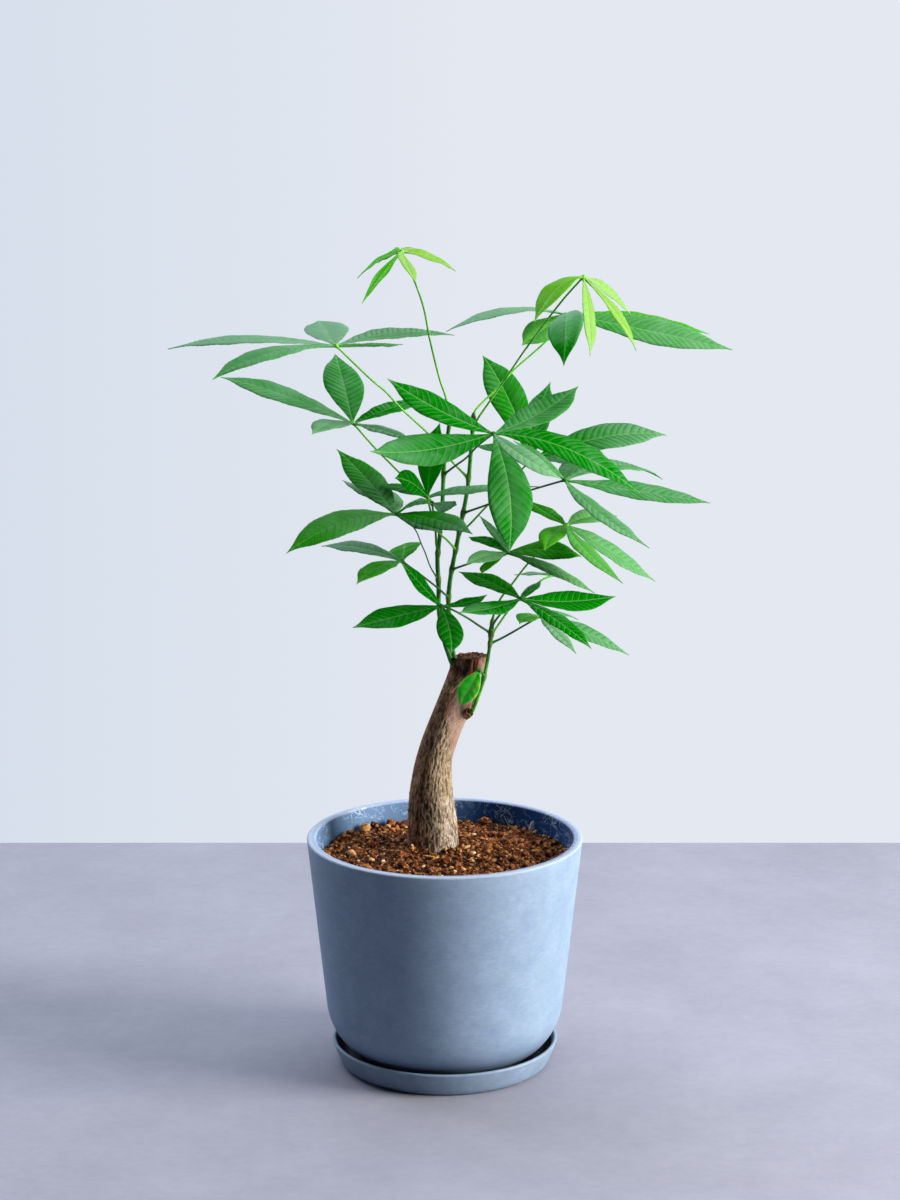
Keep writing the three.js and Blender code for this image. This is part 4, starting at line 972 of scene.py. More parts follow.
def studio():
    """A pale floor that ends at the wall's foot in the picture, a room that is bright behind the plant
    and dim before it, a large soft window on the right, a wide soft light overhead, and a weak one
    behind on the left."""
    corners = [(-FLOOR_REACH, -FLOOR_REACH, 0), (FLOOR_REACH, -FLOOR_REACH, 0),
               (FLOOR_REACH, FLOOR_END, 0), (-FLOOR_REACH, FLOOR_END, 0)]
    floor = mesh_object("floor", corners, [[0, 1, 2, 3]], FLOOR, smooth=False)
    world = bpy.data.worlds.new("pale_room")
    world.use_nodes = True
    tree = world.node_tree
    tree.nodes.clear()
    way = add(tree, "ShaderNodeTexCoord").outputs["Generated"]
    parts = add(tree, "ShaderNodeSeparateXYZ", {0: way}).outputs
    # Painted shade: the wall seen behind the plant is painted darker and bluer on the left.
    wall = add(tree, "ShaderNodeMapRange", {
        "Value": parts["X"], "From Min": -0.15, "From Max": 0.02, "To Min": 0.0, "To Max": 1.0}).outputs[0]
    shaded_wall = add(tree, "ShaderNodeMix", {0: wall, 6: tint("#d5dfeb"), 7: tint("#e4e8f1")},
                data_type="RGBA").outputs[2]
    shown = add(tree, "ShaderNodeBackground", {"Color": shaded_wall, "Strength": 1.0}).outputs[0]
    glow = add(tree, "ShaderNodeMapRange", {
        "Value": parts["Y"], "From Min": -0.12, "From Max": 0.6, "To Min": 0.02, "To Max": 1.15}).outputs[0]
    lit = add(tree, "ShaderNodeBackground", {"Color": tint("#dfe6f4"), "Strength": glow}).outputs[0]
    camera_ray = add(tree, "ShaderNodeLightPath").outputs["Is Camera Ray"]
    both = add(tree, "ShaderNodeMixShader", {0: camera_ray, 1: lit, 2: shown}).outputs[0]
    add(tree, "ShaderNodeOutputWorld", {"Surface": both})
    bpy.context.scene.world = world
    bpy.context.scene.view_settings.view_transform = "Standard"
    softbox("window_light", (1.97, -0.52, 0.82), (0, 0, 0.22), (1.0, 1.3), 125, "#fff5ec")
    softbox("high_light", (0.15, 0.25, 2.4), (0, 0, 0.3), (2.2, 2.2), 47, "#fbfbff")
    softbox("side_fill", (-1.1, 0.9, 1.5), (0, 0, 0.35), (0.9, 0.8), 15, "#e6ecf8")


# ---- Pot and saucer ----
def arc(middle_radius, middle_height, radius, start, stop, steps):
    """Places (radius, height) on an arc of a profile, from one angle in degrees to another."""
    angles = np.radians(np.linspace(start, stop, steps + 1))
    return list(zip(middle_radius + radius * np.cos(angles), middle_height + radius * np.sin(angles)))


def straight_side(start, stop, steps):
    """The places between two on a profile, so that a long straight side is split evenly."""
    shares = np.linspace(0, 1, steps + 1)[1:-1, None]
    return [tuple(p) for p in np.array(start) * (1 - shares) + np.array(stop) * shares]


def pot_profile():
    lean = math.degrees(SIDE_LEAN)
    rim, edge, wall = POT["rim_radius"], POT["rim_round"], POT["wall"]
    outer = arc(SHOULDER_MIDDLE, SHOULDER_HEIGHT, POT["shoulder"], -83, -lean, 22)
    inner = arc(SHOULDER_MIDDLE, SHOULDER_HEIGHT, POT["shoulder"] - POT["floor"], -lean, -90, 16)
    outer_lip = arc(rim - edge, POT["top"] - edge, edge, 0, 90, 6)
    inner_lip = arc(rim - wall + edge, POT["top"] - edge, edge, 90, 180, 6)
    recess = POT["stands_at"] + POT["foot_recess"]
    ring_inside = SHOULDER_MIDDLE - POT["foot_ring"]
    return [
        (POT["drain_radius"], recess), (ring_inside, recess), (ring_inside + 1.5, POT["stands_at"]),
        *outer, *straight_side(outer[-1], outer_lip[0], 12), *outer_lip, *inner_lip,
        *straight_side(inner_lip[-1], inner[0], 12), *inner,
        (POT["drain_radius"], SHOULDER_HEIGHT - POT["shoulder"] + POT["floor"]),
    ]


def saucer_profile():
    wall, floor, turn = SAUCER["wall"], SAUCER["floor"], SAUCER["side_radius"]
    lip = wall / 2
    return [
        (0, 0), (SAUCER["foot_radius"], 0), (turn - 1.4, 0.5), (turn, 1.6), (turn + 1, 3.1),
        (turn + 1.8, 5), *arc(SAUCER["rim_radius"] - lip, SAUCER["height"] - lip, lip, -10, 180, 12),
        (turn + 1.8 - wall, 6.6), (turn - wall - 1.2, floor + 0.8), (turn - wall - 4, floor), (0, floor),
    ]


def turned_piece(name, node, profile, closes, material):
    """A piece turned about the axis of the pot. Its profile is carried round a ring of CARRIER_RADIUS."""
    points = [((r - CARRIER_RADIUS) * MM, -z * MM, 0) for r, z in profile]
    mesh = bpy.data.meshes.new(name + "_profile")
    edges = [(i, i + 1) for i in range(len(points) - 1)] + ([(len(points) - 1, 0)] if closes else [])
    mesh.from_pydata(points, edges, [])
    base = bpy.data.objects.new(name + "_profile", mesh)
    bpy.context.collection.objects.link(base)
    made = grown(base, TURNED_TREE, name, {
        "Sides": TURNED_SIDES, "Ring Radius": CARRIER_RADIUS * MM, "Weld": 0.02 * MM, "Material": material})
    outward(made)
    place(made, node, node)


def outward(piece):
    """Turns a closed mesh's faces outwards if they point in."""
    mesh = piece.data
    mesh.calc_loop_triangles()
    corners = np.zeros(len(mesh.loop_triangles) * 3, int)
    mesh.loop_triangles.foreach_get("vertices", corners)
    spots = np.zeros(len(mesh.vertices) * 3)
    mesh.vertices.foreach_get("co", spots)
    a, b, c = spots.reshape(-1, 3)[corners.reshape(-1, 3)].transpose(1, 0, 2)
    if np.einsum("ij,ij->", a, np.cross(b, c)) < 0:
        mesh.flip_normals()


# ---- Soil ----
def wall_inside(height):
    """How far from the axis the soil reaches at this height."""
    return POT["rim_radius"] - POT["wall"] - (POT["top"] - height) * math.tan(SIDE_LEAN) - SOIL["clear"]


def soil_height(x, y):
    """The height of the uneven top: a mound round the trunk, soft lumps, and a rough surface."""
    away = math.hypot(x - TRUNK_FOOT[0], y - TRUNK_FOOT[1]) / SOIL["mound_reach"]
    lumps = (math.sin(x / 5.3 + 1.2 * math.sin(y / 9)) * math.sin(y / 6.1 + 0.7)
             + 0.6 * math.sin((x + y) / 3.7) * math.cos((x - y) / 4.9))
    crumbs = noise.fractal(Vector((x / 4.2, y / 4.2, 3)), 0.6, 2.1, 4)
    mound = SOIL["mound"] * math.exp(-away * away)
    return SOIL["edge"] + mound + SOIL["lumps"] * lumps + SOIL["crumbs"] * crumbs


def soil_top(rim):
    rows = []
    for i in range(SOIL_RINGS, 0, -1):
        radius = rim * i / SOIL_RINGS
        angles = [2 * math.pi * j / SOIL_SIDES for j in range(SOIL_SIDES)]
        spots = [(radius * math.cos(a), radius * math.sin(a)) for a in angles]
        rows.append([(x, y, soil_height(x, y)) for x, y in spots])
    return np.array(rows)


def soil():
    """The earth that fills the pot, and all that lies loose on it."""
    top = soil_top(wall_inside(SOIL["edge"]))
    angles = turns(SOIL_SIDES)
    round_foot = arc(SHOULDER_MIDDLE, SHOULDER_HEIGHT, POT["shoulder"] - POT["floor"] - SOIL["clear"] - 1,
                     -90, -math.degrees(SIDE_LEAN), 8)
    side = [np.stack([r * np.cos(angles), r * np.sin(angles), np.full(SOIL_SIDES, z)], axis=-1)
            for r, z in round_foot]
    rows = np.vstack([np.array(side), top])
    body = mesh_object("soil_bed", rows.reshape(-1, 3), skin_faces(len(rows), SOIL_SIDES), DEEP_EARTH)
    outward(body)
    place(body, "soil", "soil")
    strew(top)
    chips()


# Loose crumbs of four kinds: the finish, and the inputs of their tree, of which those in CRUMB_LENGTHS
# are millimetres. The density counts crumbs on a square metre.
CRUMB_LENGTHS = ("Spacing", "Smallest", "Largest", "Dents", "Sink")
CRUMBS = {
    "soil_crumbs": (EARTH, dict(Spacing=1.9, Density=300000.0, Smallest=0.65, Largest=3.0,
                                Flatness=0.8, Roundness=1, Dents=2.4, Sink=0.0, Seed=11)),
    "soil_lumps": (EARTH, dict(Spacing=6.5, Density=9000.0, Smallest=2.2, Largest=5.6,
                               Flatness=0.85, Roundness=2, Dents=4.5, Sink=0.2, Seed=12)),
    "coir_crumbs": (PALE_CRUMB, dict(Spacing=4.0, Density=30000.0, Smallest=0.8, Largest=2.2,
                                     Flatness=0.7, Roundness=1, Dents=1.5, Sink=-0.5, Seed=13)),
    "wood_chips": (PALE_CHIP, dict(Spacing=9.0, Density=5000.0, Smallest=0.6, Largest=1.7,
                                   Flatness=0.6, Roundness=1, Dents=1.0, Sink=-0.7, Seed=14)),
}


def strew(top):
    ground, faces = top[1:].reshape(-1, 3), skin_faces(len(top) - 1, SOIL_SIDES)[:-2]
    for name, (material, sizes) in CRUMBS.items():
        base = mesh_object(name + "_ground", ground, [face[::-1] for face in faces])
        values = {key: value * MM if key in CRUMB_LENGTHS else value for key, value in sizes.items()}
        place(grown(base, CRUMB_TREE, name, {**values, "Material": material}), "soil")


def seen_on_soil(across, down):
    """The place on the soil that the picture shows there."""
    spot = seen_at_height(across, down, SOIL["edge"])
    for _ in range(4):
        spot = seen_at_height(across, down, soil_height(spot[0], spot[1]))
    return spot


def drawn_in(spot, reach):
    """The same place on the soil, but so far from the pot's wall that what reaches so far stays clear."""
    share = min(1, (wall_inside(SOIL["edge"]) - reach) / math.hypot(spot[0], spot[1]))
    x, y = spot[0] * share, spot[1] * share
    return np.array([x, y, soil_height(x, y)])


CHIP_RISE = 1.5  # how far a chip's middle lies over the bed, besides half of its own half-height
# Chips, pebbles and lumps that stand out in the picture: the finish, how round they are, how deep their
# dents are, and for each its place, its three half-lengths and its turn.
CHIPS = {
    "cream_chips": (PALE_CHIP, 2, 0.6, [
        ((466.5, 851.5), (3.1, 1.9, 1.0), 0.4), ((472.5, 856.5), (2.8, 2.2, 1.1), 2.6),
        ((474, 836.5), (1.9, 1.3, 0.9), 0.2), ((423.5, 868.5), (1.5, 1.1, 0.8), 0.5),
        ((445.5, 868), (1.4, 1.0, 0.8), 2.2), ((383, 865), (1.6, 1.1, 0.9), 0.6),
        ((487, 842), (1.2, 0.9, 0.7), 1.5), ((349, 850.5), (1.3, 1.0, 0.8), 1.9),
    ]),
    "tan_pebbles": (PALE_CRUMB, 3, 1.6, [
        ((349, 827.5), (4.4, 3.4, 3.6), 0.5), ((412, 851), (1.9, 1.7, 2.8), 0.2),
        ((352, 856), (3.6, 2.6, 2.4), 2.4), ((388, 829), (2.4, 1.9, 1.5), 0.9),
        ((397, 830.5), (1.7, 1.6, 1.3), 1.9), ((541, 834.5), (2.2, 1.2, 1.0), 0.5),
        ((433, 858.5), (7.5, 0.9, 0.7), 0.12), ((372, 863), (2.6, 1.6, 1.4), 0.7),
    ]),
    "lime_flake": (LIME_FLAKE, 2, 0.5, [((541, 831), (1.6, 0.6, 5.6), 0.0)]),
    "soil_clods": (EARTH, 3, 3.2, [
        ((382, 823), (3.6, 3.0, 3.4), 0.8), ((515, 861), (4.2, 3.2, 3.0), 0.4),
        ((525, 857.5), (3.4, 3.0, 3.2), 1.4), ((488, 824), (5.0, 3.2, 2.6), 0.2),
        ((366, 826), (3.8, 2.8, 2.6), 2.2), ((556, 845), (3.2, 2.6, 2.2), 0.9),
        ((338, 834), (3.6, 2.8, 2.8), 1.8), ((402, 868), (3.0, 2.4, 2.2), 0.6),
        ((500, 866.5), (2.8, 2.4, 2.2), 2.9), ((452, 843), (3.0, 2.2, 2.0), 2.0),
    ]),
}


def chips():
    for name, (material, roundness, dents, places) in CHIPS.items():
        spots = [drawn_in(seen_on_soil(*spot), max(half[:2]) + dents / 2) + UP * (CHIP_RISE + half[2] / 2)
                 for spot, half, _ in places]
        base = mesh_object(name + "_places", spots, [], attributes={
            "size": [np.array(half) * MM for _, half, _ in places],
            "turn": [(0.25 * math.sin(9 * turn), 0.3 * math.cos(7 * turn), turn)
                     for _, _, turn in places]})
        place(grown(base, CHIP_TREE, name, {
            "Roundness": roundness, "Dents": dents * MM, "Sink": 0.0, "Material": material}), "soil")


# ---- Trunk ----
TRUNK_RINGS, TRUNK_SIDES = 330, 210
SAWN_RINGS = 22
AROUND = turns(TRUNK_SIDES)
BARK_RADIUS = 14  # of the straightened trunk that the patterns of the bark lie on
CRACK_DEPTH, BROAD_BUMPS, FINE_BUMPS = 0.45, 0.35, 0.15
# Shares of the way up: the rings turn level from the first, and the collar starts between the others.
LEVEL_FROM, COLLAR_FROM, COLLAR_FULL = 0.86, 0.915, 0.945
# Knots and bumps on the bark: the place in the picture, how far it stands out, and its reach.
TRUNK_KNOTS = [
    ((456.5, 664.5, -6), 1.5, 3.4), ((434, 722, -9), 0.9, 3), ((408.8, 793, -18), 0.9, 1.6),
    ((407.8, 810, -16), 1.1, 2.2), ((407, 826, -12), 0.9, 2.2), ((447, 691, -8), 0.9, 2.6),
    ((482, 661, -8), -0.7, 1.6), ((454, 719, -8), 0.4, 1.5),
]
BARE_KNOT = TRUNK_KNOTS[0][0]
BARE_KNOT_REACH = 4
# A dark patch above the stub, painted as crack: torn bark, and the painted shadow of the stub and its twig.
TORN_BARK_SHADOW = (467, 705, -14)
TORN_SHADOW_REACH = 5
WORN_AWAY = 2.4  # how much lower the lip of the sawn face is on the left
# Where the smooth bark starts, as a share of the way from the middle line to the right-hand outline,
# at heights in millimetres above the soil.
SMOOTH_FROM = {60: 1.3, 68: 0.95, 76: 0.75, 84: 0.4, 92: 0.1, 100: -0.1, 116: -0.35, 124: -0.2, 132: 0.35}


def trunk():
    """The rows of points up the bark, the middle of the top, the same rows on the straightened trunk, how
    much of each finish covers each point, and how far up each row lies."""
    marks = np.array([seen(x, y, TRUNK_NEARER) for x, y, _ in TRUNK_STATIONS])
    marks = np.vstack([marks[0] - UP * TRUNK_BURIED, marks])
    breadths = [TRUNK_BURIED_BREADTH] + [breadth for _, _, breadth in TRUNK_STATIONS]
    raw = smooth_path(marks, 24)
    share = np.linspace(0, len(marks) - 1, len(raw))
    at, path = evenly(raw, TRUNK_RINGS)
    breadth = np.interp(np.interp(at, lengths_along(raw), share), range(len(breadths)), breadths)
    _, sides, others = frames_along(path, SIDEWAYS)
    # The saw has cut the top level, so the rings turn level towards it.
    level = smoothstep(at / at[-1], LEVEL_FROM, 1)[:, None]
    sides = unit(sides * (1 - level) + SIDEWAYS * level)
    others = unit(others * (1 - level) + np.array([0, 1.0, -0.1]) * level)
    height = at - TRUNK_BURIED
    radius = breadth[:, None] / 2 * (1 + 0.035 * np.sin(3 * AROUND + 0.05 * at[:, None])
                                     + 0.02 * np.sin(5 * AROUND - 0.07 * at[:, None] + 1))
    limit = np.interp(height, list(SMOOTH_FROM), list(SMOOTH_FROM.values()))
    straight = np.zeros((TRUNK_RINGS, TRUNK_SIDES, 3))
    cover = {key: np.zeros_like(radius) for key in ("crack", "smooth_bark", "moss", "grey", "ruddy_shade")}
    # Short cracks split the old bark. The smooth young bark starts at a line, the left side is reddish and
    # darkened as painted shade, the grey side low on the right, and moss tints a band and the side in the
    # sun.
    for i in range(TRUNK_RINGS):
        for j, a in enumerate(AROUND):
            x, y, z = math.cos(a) * BARK_RADIUS, math.sin(a) * BARK_RADIUS, at[i]
            straight[i, j] = x, y, z
            split = noise.fractal(Vector((x / 1.5, y / 1.5, z / 7)), 0.7, 2.0, 3)
            broad = noise.noise(Vector((x / 8, y / 8, z / 20)))
            calm = smoothstep(math.cos(a) - limit[i] + 0.35 * broad, -0.06, 0.1)
            crack = smoothstep(split, 0.04, 0.4) * (1 - 0.9 * calm)
            low_right = math.cos(a) - 0.25 - max(0, height[i] - 20) / 50
            cover["crack"][i, j] = 0.85 * crack
            cover["smooth_bark"][i, j] = calm
            mossy = smoothstep(broad + 0.25 - 0.02 * abs(height[i] - 52), 0.05, 0.5)
            sunny = smoothstep(math.cos(a), 0.0, 0.6) * smoothstep(height[i], 12, 45)
            cover["moss"][i, j] = 0.2 * mossy + 0.22 * sunny
            cover["grey"][i, j] = smoothstep(low_right + 0.4 * broad, -0.2, 0.4)
            cover["ruddy_shade"][i, j] = 0.75 * smoothstep(0.3 * broad - math.cos(a), -0.1, 0.7)
            radius[i, j] += -CRACK_DEPTH * crack + BROAD_BUMPS * broad + FINE_BUMPS * split
    across = spokes(AROUND, sides, others)
    points = path[:, None, :] + radius[..., None] * across
    for spot, rise, reach in TRUNK_KNOTS:
        points = points + (rise * nearness(points, seen(*spot), reach))[..., None] * across
    return points, path[-1], straight, cover, at / at[-1]


def ring_noise(reach, level):
    """Noise round the trunk that joins up with itself."""
    return np.array([noise.noise(Vector((math.cos(a) * reach, math.sin(a) * reach, level))) for a in AROUND])


def trunk_piece():
    points, middle, straight, cover, high = trunk()
    # The cut end has dried to a dark ragged collar, except on the right, where the bark is young.
    young_side = smoothstep(np.cos(AROUND), 0.42, 0.6)
    collar = smoothstep(high[:, None] + 0.014 * ring_noise(3, 7) + 0.01 * ring_noise(9, 3),
                        COLLAR_FROM, COLLAR_FULL)
    bare_knot = nearness(points, seen(*BARE_KNOT), BARE_KNOT_REACH)
    cut = collar * (1 - 0.9 * young_side) * (1 - bare_knot)
    cover["grey"] = np.maximum(cover["grey"], bare_knot)
    # Painted shadow above the stub, laid in as crack.
    cover["crack"] = np.maximum(cover["crack"], nearness(points, seen(*TORN_BARK_SHADOW), TORN_SHADOW_REACH))
    # The sawn face dips inside its ragged lip, and is worn away on the left.
    ragged = 1.1 * ring_noise(2.1, 2) + 0.7 * ring_noise(7, 5)
    worn = -WORN_AWAY * smoothstep(-np.cos(AROUND), 0.45, 0.8)
    sawn = []
    for i in range(1, SAWN_RINGS + 1):
        share = i / SAWN_RINGS
        lip = math.exp(-((share - 0.08) / 0.12) ** 2)
        rise = (lip * (1.2 + ragged) + worn * (1 - share) * smoothstep(share, 0, 0.06)
                - 1.2 * smoothstep(share, 0.12, 0.4) + 0.5 * ring_noise(5 * (1 - share), 9))
        sawn.append(points[-1] * (1 - share) + middle * share + rise[:, None] * UP)
    rows = np.vstack([points, np.array(sawn)])
    bare = np.zeros((SAWN_RINGS, TRUNK_SIDES))
    values = {key: np.vstack([value, bare]).ravel() for key, value in cover.items()}
    values["cut"] = np.vstack([cut, bare + 1]).ravel()
    values["straight"] = np.vstack([straight, np.array(sawn)]).reshape(-1, 3)
    made = mesh_object("trunk_wood", rows.reshape(-1, 3), skin_faces(len(rows), TRUNK_SIDES), BARK, values)
    outward(made)
    place(made, "bark", "trunk")


STUB = [(461.5, 716.5, -24), (470.3, 711.5, -9)]
STUB_RADIUS, STUB_TAPER = 4.8, 1.9
STUB_RINGS, STUB_SIDES, TWIG_SIDES = 14, 40, 8
# Into the hollow end of the stub: the share of its breadth, and how deep it lies there.
HOLLOW = [(0.84, 0.2), (0.7, 1.8), (0.4, 3), (0.1, 3.4)]
TWIG = [(471.3, 709, -6), (473, 702.5, -4.5), (475.3, 696, -4)]
TWIG_RADIUS = 0.42


def stub_piece():
    """The broken foot of an old branch, hollow at its end, that the low stem grows out of, and a dry
    twig beside it."""
    line = np.linspace(*(seen(*mark) for mark in STUB), STUB_RINGS)
    ways, sides, others = frames_along(line, UP)
    around, share = turns(STUB_SIDES), np.linspace(0, 1, STUB_RINGS)[:, None]
    radius = STUB_RADIUS - STUB_TAPER * share + 0.35 * np.sin(3 * around + 4 * share)
    ragged = (0.7 * np.sin(5 * around + 1) + 0.5 * np.sin(11 * around)) * share
    cup = (line[:, None] + radius[..., None] * spokes(around, sides, others)
           + ragged[..., None] * ways[:, None])
    hollow = [line[-1] - depth * ways[-1] + part * (cup[-1] - line[-1]) for part, depth in HOLLOW]
    cup = np.vstack([cup, np.array(hollow)])
    twig_line = smooth_path([seen(*mark) for mark in TWIG], 8)
    _, sides, others = frames_along(twig_line, UP)
    twig = twig_line[:, None] + TWIG_RADIUS * spokes(turns(TWIG_SIDES), sides, others)
    points, faces, _ = joined([
        (cup.reshape(-1, 3), skin_faces(len(cup), STUB_SIDES), {}),
        (twig.reshape(-1, 3), skin_faces(len(twig), TWIG_SIDES), {})])
    made = mesh_object("branch_stub", points, faces, TORN_WOOD)
    outward(made)
    place(made, "bark", "trunk")


# ---- Stems ----
STEM_STEP, STEM_SIDES = 0.7, 28
STEM_TAPER, STEM_END = 0.35, 3
NODE_REACH = 4  # a petiole whose foot lies so near to a stem grows from it
NODE_SWELLING = 0.6


def stem_piece(name, marks, nodes):
    """A stem with a swelling and a scar at the foot of each petiole."""
    raw = smooth_path([seen(*mark) for mark in marks], 20)
    at, path = evenly(raw, int(lengths_along(raw)[-1] / STEM_STEP))
    _, sides, others = frames_along(path, SIDEWAYS)
    thickest, finish = (LOW_STEM_RADIUS, LOW_STEM) if name == "stem_low" else (STEM_RADIUS, STEM)
    rounded = 0.2 + 0.8 * np.sqrt(np.minimum(1, (at[-1] - at) / STEM_END))
    radius = (thickest - STEM_TAPER * at / at[-1]) * rounded
    around = turns(STEM_SIDES)
    ribbed = radius[:, None] * (1 + 0.035 * np.sin(5 * around))
    points = path[:, None, :] + ribbed[..., None] * spokes(around, sides, others)
    scar = np.zeros(points.shape[:2])
    for spot in nodes:
        away = np.linalg.norm(points - spot, axis=-1)
        along = np.abs(at - at[np.argmin(np.linalg.norm(path - spot, axis=-1))])[:, None]
        swelling = NODE_SWELLING * nearness(points, spot, 2.8) + 0.15 * np.exp(-(along / 1.8) ** 2)
        points = points + swelling[..., None] * unit(points - path[:, None, :])
        scar = np.maximum(scar, np.exp(-((along - 1.8) / 0.5) ** 2) * smoothstep(6 - away, 0, 3))
    made = mesh_object(name + "_shoot", points.reshape(-1, 3), skin_faces(len(path), STEM_SIDES), finish,
                       {"scar": scar.ravel()})
    outward(made)
    place(made, "stem", name)


def stems():
    feet = [seen(*form["petiole"][0]) for form in LEAVES.values()]
    for name, marks in STEMS.items():
        path = smooth_path([seen(*mark) for mark in marks], 12)
        mine = [foot for foot in feet if np.linalg.norm(path - foot, axis=1).min() < NODE_REACH]
        stem_piece(name, marks, mine)


# ---- Leaves ----
BLADE_FOLD, YOUNG_FOLD = 0.03, 0.08  # how far a blade rises to its margin, as a share of its breadth
ROW_STEP = 0.85
# How thick a blade is, what its foot and the keel under its midrib add, how deep the midrib lies, and
# how high the blade waves and its edge ripples.
BLADE_THICK, FOOT_THICK, KEEL, GROOVE, BLADE_WAVE, EDGE_RIPPLE = 0.36, 1.3, 0.75, 0.28, 0.3, 0.22
FULL_BREADTH = 7  # from the midrib: a blade that is less broad has lower ribs and ripples
BLOTCH_SIZE = 3.1
FIRST_SEED, PHASE_STEP = 100, 2.1  # the leaves, and the leaflets of one leaf, wave each in their own way
# Places across half a blade, as shares of the way from the midrib to the margin.
COLUMNS = np.array([0.055, 0.16, 0.31, 0.48, 0.66, 0.84, 1.0])


def outline(t, blunt=False):
    """Half the breadth of a leaflet at the share t of its length, of 1 at its widest."""
    if blunt:
        return np.sin(math.pi * t ** 1.15) ** 0.75
    return np.sin(math.pi * t ** 1.1) * (1 - 0.4 * smoothstep(t, 0.78, 1))


def turn_that_shows(spot, along, level, face, breadth, shows):
    """The turn about its midrib at which a blade looks as broad in the picture as it should."""
    look = spot - EYE
    scale = FOCAL / np.linalg.norm(look)
    look = unit(look)
    across = unit(np.cross(along, look))
    flat, upright = level @ across, face @ across
    spread = math.acos(min(1, shows / (breadth * scale * math.hypot(flat, upright))))
    middle = math.atan2(upright, flat)
    tried = [middle + way * spread + half for half in (0, -math.pi, math.pi) for way in (1, -1)]
    # The upper face looks towards the viewer, or lies all but edge on.
    fit = [turn for turn in tried if (face * math.cos(turn) - level * math.sin(turn)) @ look < 0.02]
    return min(fit, key=abs, default=0)


def sweep(away):
    """How far towards the tip a side vein has run when it is so far from the midrib."""
    return 0.55 * away + 0.022 * away * away


def leaflet(hub, hub_nearer, form, fold, blunt, ribbed, phase, draw):
    """The points, faces and point values of one leaflet. Its rows of points follow its side veins, which
    sweep towards the tip."""
    tip, mid, breadth, shows = form[:4]
    end = seen(*tip)
    nearer = mid[2] if len(mid) > 2 else (hub_nearer + tip[2]) / 2
    halfway = seen(mid[0], mid[1], nearer)
    pull = 2 * halfway - (hub + end) / 2
    along = unit(end - hub)
    level = unit(np.cross(along, UP))
    face = np.cross(level, along)
    turn = turn_that_shows(halfway, along, level, face, breadth, shows)
    side = level * math.cos(turn) + face * math.sin(turn)

    def midrib(t):
        return (1 - t) ** 2 * hub + 2 * t * (1 - t) * pull + t ** 2 * end

    fine = np.linspace(0, 1, 241)
    far = lengths_along(midrib(fine[:, None]))
    length = far[-1]

    def half_at(s):
        widest = breadth / 2 * outline(np.clip(np.interp(s, far, fine), 0, 1), blunt)
        least = 0.15 + 0.7 * np.exp(-(s / 5) ** 2)
        return np.maximum(widest, least)

    # How far each side vein runs before it meets the margin is found by halving.
    start = np.linspace(0, length, max(16, int(length / ROW_STEP)))
    low, high = np.zeros_like(start), np.full_like(start, breadth)
    for _ in range(24):
        half = (low + high) / 2
        within = half_at(start + sweep(half)) >= half
        low, high = np.where(within, half, low), np.where(within, high, half)
    reach = low[:, None]
    share = np.concatenate([-COLUMNS[::-1], [0], COLUMNS])[None, :]
    away = np.abs(share) * reach
    s = np.minimum(start[:, None] + sweep(away), length)
    t = np.interp(s, far, fine)[..., None]
    middle = midrib(t)
    way = unit((1 - t) * (pull - hub) + t * (end - pull))
    spread = unit(side - way * (way @ side)[..., None])
    normal = np.cross(spread, way)

    half = half_at(s)
    part = np.clip(away / half, 0, 1)
    t = t[..., 0]
    full = np.minimum(1, reach / FULL_BREADTH)
    wave = BLADE_WAVE * np.sin(12 * t + phase) * outline(t)
    arch = draw.uniform(0.05, 0.11)
    ripple = draw.uniform(0, 6)
    veins = start + 0.7 * np.sin(start / 7 + 2 * phase) + 0.4 * np.sin(start / 2.9 + phase)
    between = np.abs(np.sin(math.pi * veins[:, None] / VEIN_PITCH)) ** 0.8
    foot = np.exp(-(s / 4) ** 2)
    height = (
        part * (fold * half + np.sign(share) * wave) + arch * half * (1 - (2 * part - 1) ** 2)
        + ribbed * (between - 0.55) * smoothstep(part, 0, 0.3) * (1 - 0.5 * part ** 2) * full
        - GROOVE * np.exp(-(away / 0.7) ** 2) * (1 - t)
        + EDGE_RIPPLE * part ** 3 * np.sin(s / 3.1 + ripple + np.sign(share)) * full)
    thick = BLADE_THICK + FOOT_THICK * foot - 0.1 * part
    keel = KEEL * np.exp(-(away / 0.75) ** 2) * (1 - 0.75 * t) * (1 - foot)
    top = middle + spread * (share * reach)[..., None] + normal * (height + 0.5 * foot)[..., None]
    under = top - normal * (thick + keel)[..., None]
    rows = np.concatenate([top, under[:, ::-1]], axis=1)

    def both(values):
        values = np.broadcast_to(values, top.shape[:2])
        return np.concatenate([values, values[:, ::-1]], axis=1).ravel()

    upper = np.concatenate([np.ones(top.shape[:2]), np.zeros(top.shape[:2])], axis=1).ravel()
    values = {
        "furrowed": both(min(MOST_FURROWED, ribbed / USUAL_FURROWS)), "upper": upper, "far": both(t),
        "across": both(share * reach), "along": both(veins[:, None]), "margin": both((1 - part) * half),
    }
    return rows.reshape(-1, 3), skin_faces(len(rows), rows.shape[1]), values


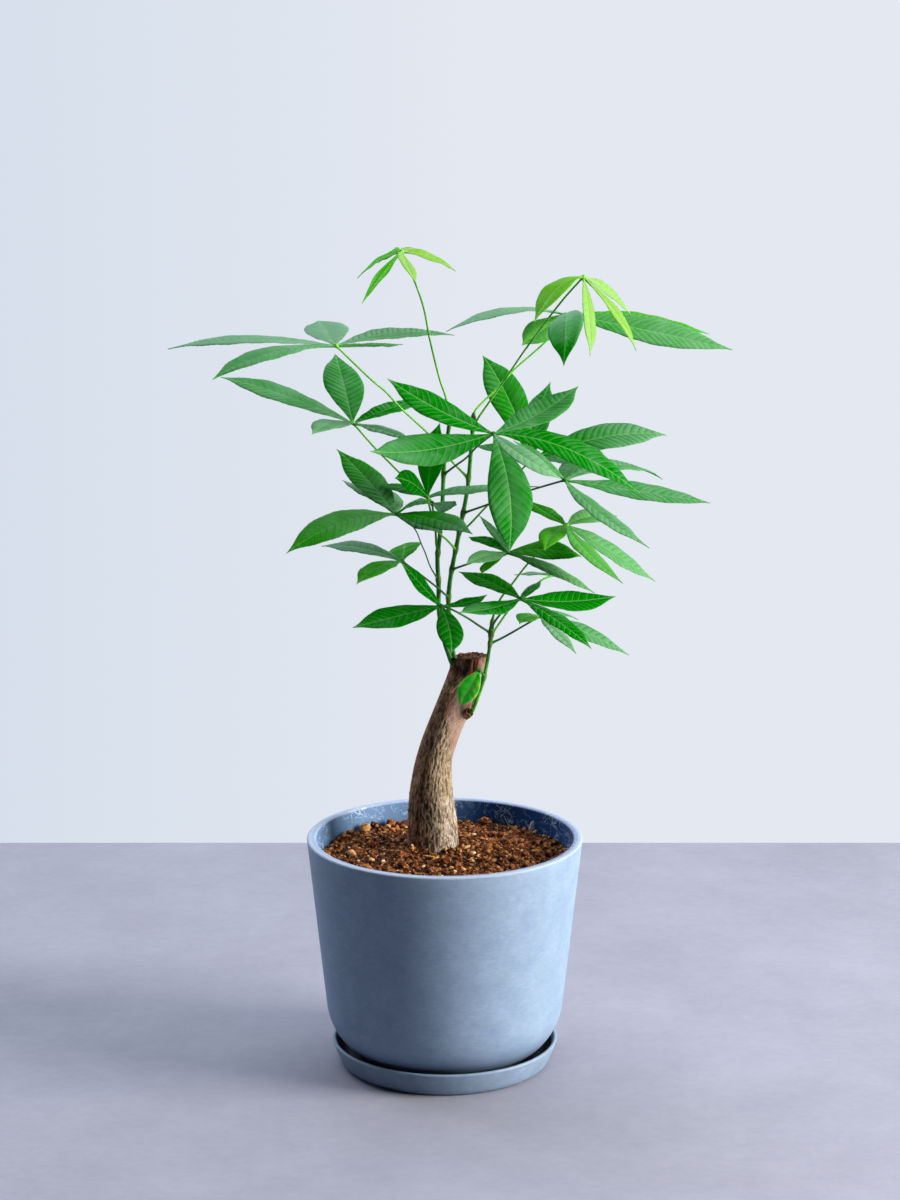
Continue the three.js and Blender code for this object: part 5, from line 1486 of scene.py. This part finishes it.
def leaf(name, form, number):
    draw = random.Random(FIRST_SEED + number)
    hub_mark = form["petiole"][-1]
    hub = seen(*hub_mark)
    young, blotched = form.get("young"), form.get("blotched")
    fold, usual = (YOUNG_FOLD, YOUNG_FURROWS) if young else (BLADE_FOLD, USUAL_FURROWS)
    blades = []
    for i, part in enumerate(form["leaflets"]):
        points, faces, values = leaflet(hub, hub_mark[2], part, fold, form.get("blunt", False),
                                        form.get("furrows", usual), PHASE_STEP * i, draw)
        # Painted sheen and painted glow, laid on along each leaflet.
        near_hub, near_tip = part[4] if isinstance(part[4], tuple) else (part[4], part[4])
        values["painted_sheen"] = near_hub + (near_tip - near_hub) * values.pop("far")
        values["lime_glow"] = np.full(len(points), float(part[5]))
        values["blotch"] = blotches(points) if blotched else np.zeros(len(points))
        blades.append((points, faces, values))
    points, faces, values = joined(blades)
    uv = np.stack([values.pop("across"), values.pop("along")], axis=-1)
    material = YOUNG_LEAF if young else OLD_LEAF if blotched else MATURE_LEAF
    made = mesh_object(name + "_blades", points, faces, material, values, uv)
    place(made, "young_leaf" if young else "leaf", name)
    petiole(name, form)


def blotches(points):
    """Yellow rings and spots on the old leaf in front of the trunk."""
    return np.array([0.8 * smoothstep(noise.noise(Vector(p / BLOTCH_SIZE)), 0.14, 0.32) for p in points])


PETIOLE_SIDES = 14
FOOT_SWELLING, HUB_SWELLING = 0.7, 0.9
# The knob rounds off past the hub: how far past it, and the share of the thickness that is left.
KNOB = [(0.6, 0.95), (1.1, 0.78), (1.5, 0.5), (1.75, 0.12)]


def petiole(name, form):
    """A petiole with a swollen foot at the stem, and a knob at the hub where the leaflets meet."""
    path = smooth_path([seen(*mark) for mark in form["petiole"]], 14)
    way = unit(path[-1] - path[-4])
    hub_at = lengths_along(path)[-1]
    path = np.vstack([path, [path[-1] + way * step for step, _ in KNOB]])
    at = lengths_along(path)
    radius = THIN_PETIOLE_RADIUS if form.get("thin_stalk") else PETIOLE_RADIUS
    thick = radius + FOOT_SWELLING * np.exp(-(at / 2.4) ** 2) + 0.22 * np.exp(-at / 12)
    thick += HUB_SWELLING * np.exp(-((hub_at - at) / 1.9) ** 2)
    thick[-len(KNOB):] *= [share for _, share in KNOB]
    mesh = bpy.data.meshes.new(name + "_line")
    mesh.from_pydata((path * MM).tolist(), [(i, i + 1) for i in range(len(path) - 1)], [])
    for key, values in (("thick", thick * MM), ("scar", 0.35 * np.exp(-(at / 1.6) ** 2))):
        mesh.attributes.new(key, "FLOAT", "POINT").data.foreach_set("value", values)
    base = bpy.data.objects.new(name + "_line", mesh)
    bpy.context.collection.objects.link(base)
    made = grown(base, STALK_TREE, name + "_petiole", {
        # A shaded stalk takes the deep greens of painted shade, the others the bright greens of painted
        # light.
        "Sides": PETIOLE_SIDES, "Material": SHADED_PETIOLE if form.get("shaded_stalk") else LIT_PETIOLE})
    outward(made)
    place(made, "stem", name)


# ---- Assembly ----
camera()
studio()
turned_piece("pot_wall", "pot", pot_profile(), True, POT_PLASTIC)
turned_piece("saucer_dish", "saucer", saucer_profile(), False, SAUCER_PLASTIC)
soil()
trunk_piece()
stub_piece()
stems()
for number, (name, form) in enumerate(LEAVES.items()):
    leaf(name, form, number)
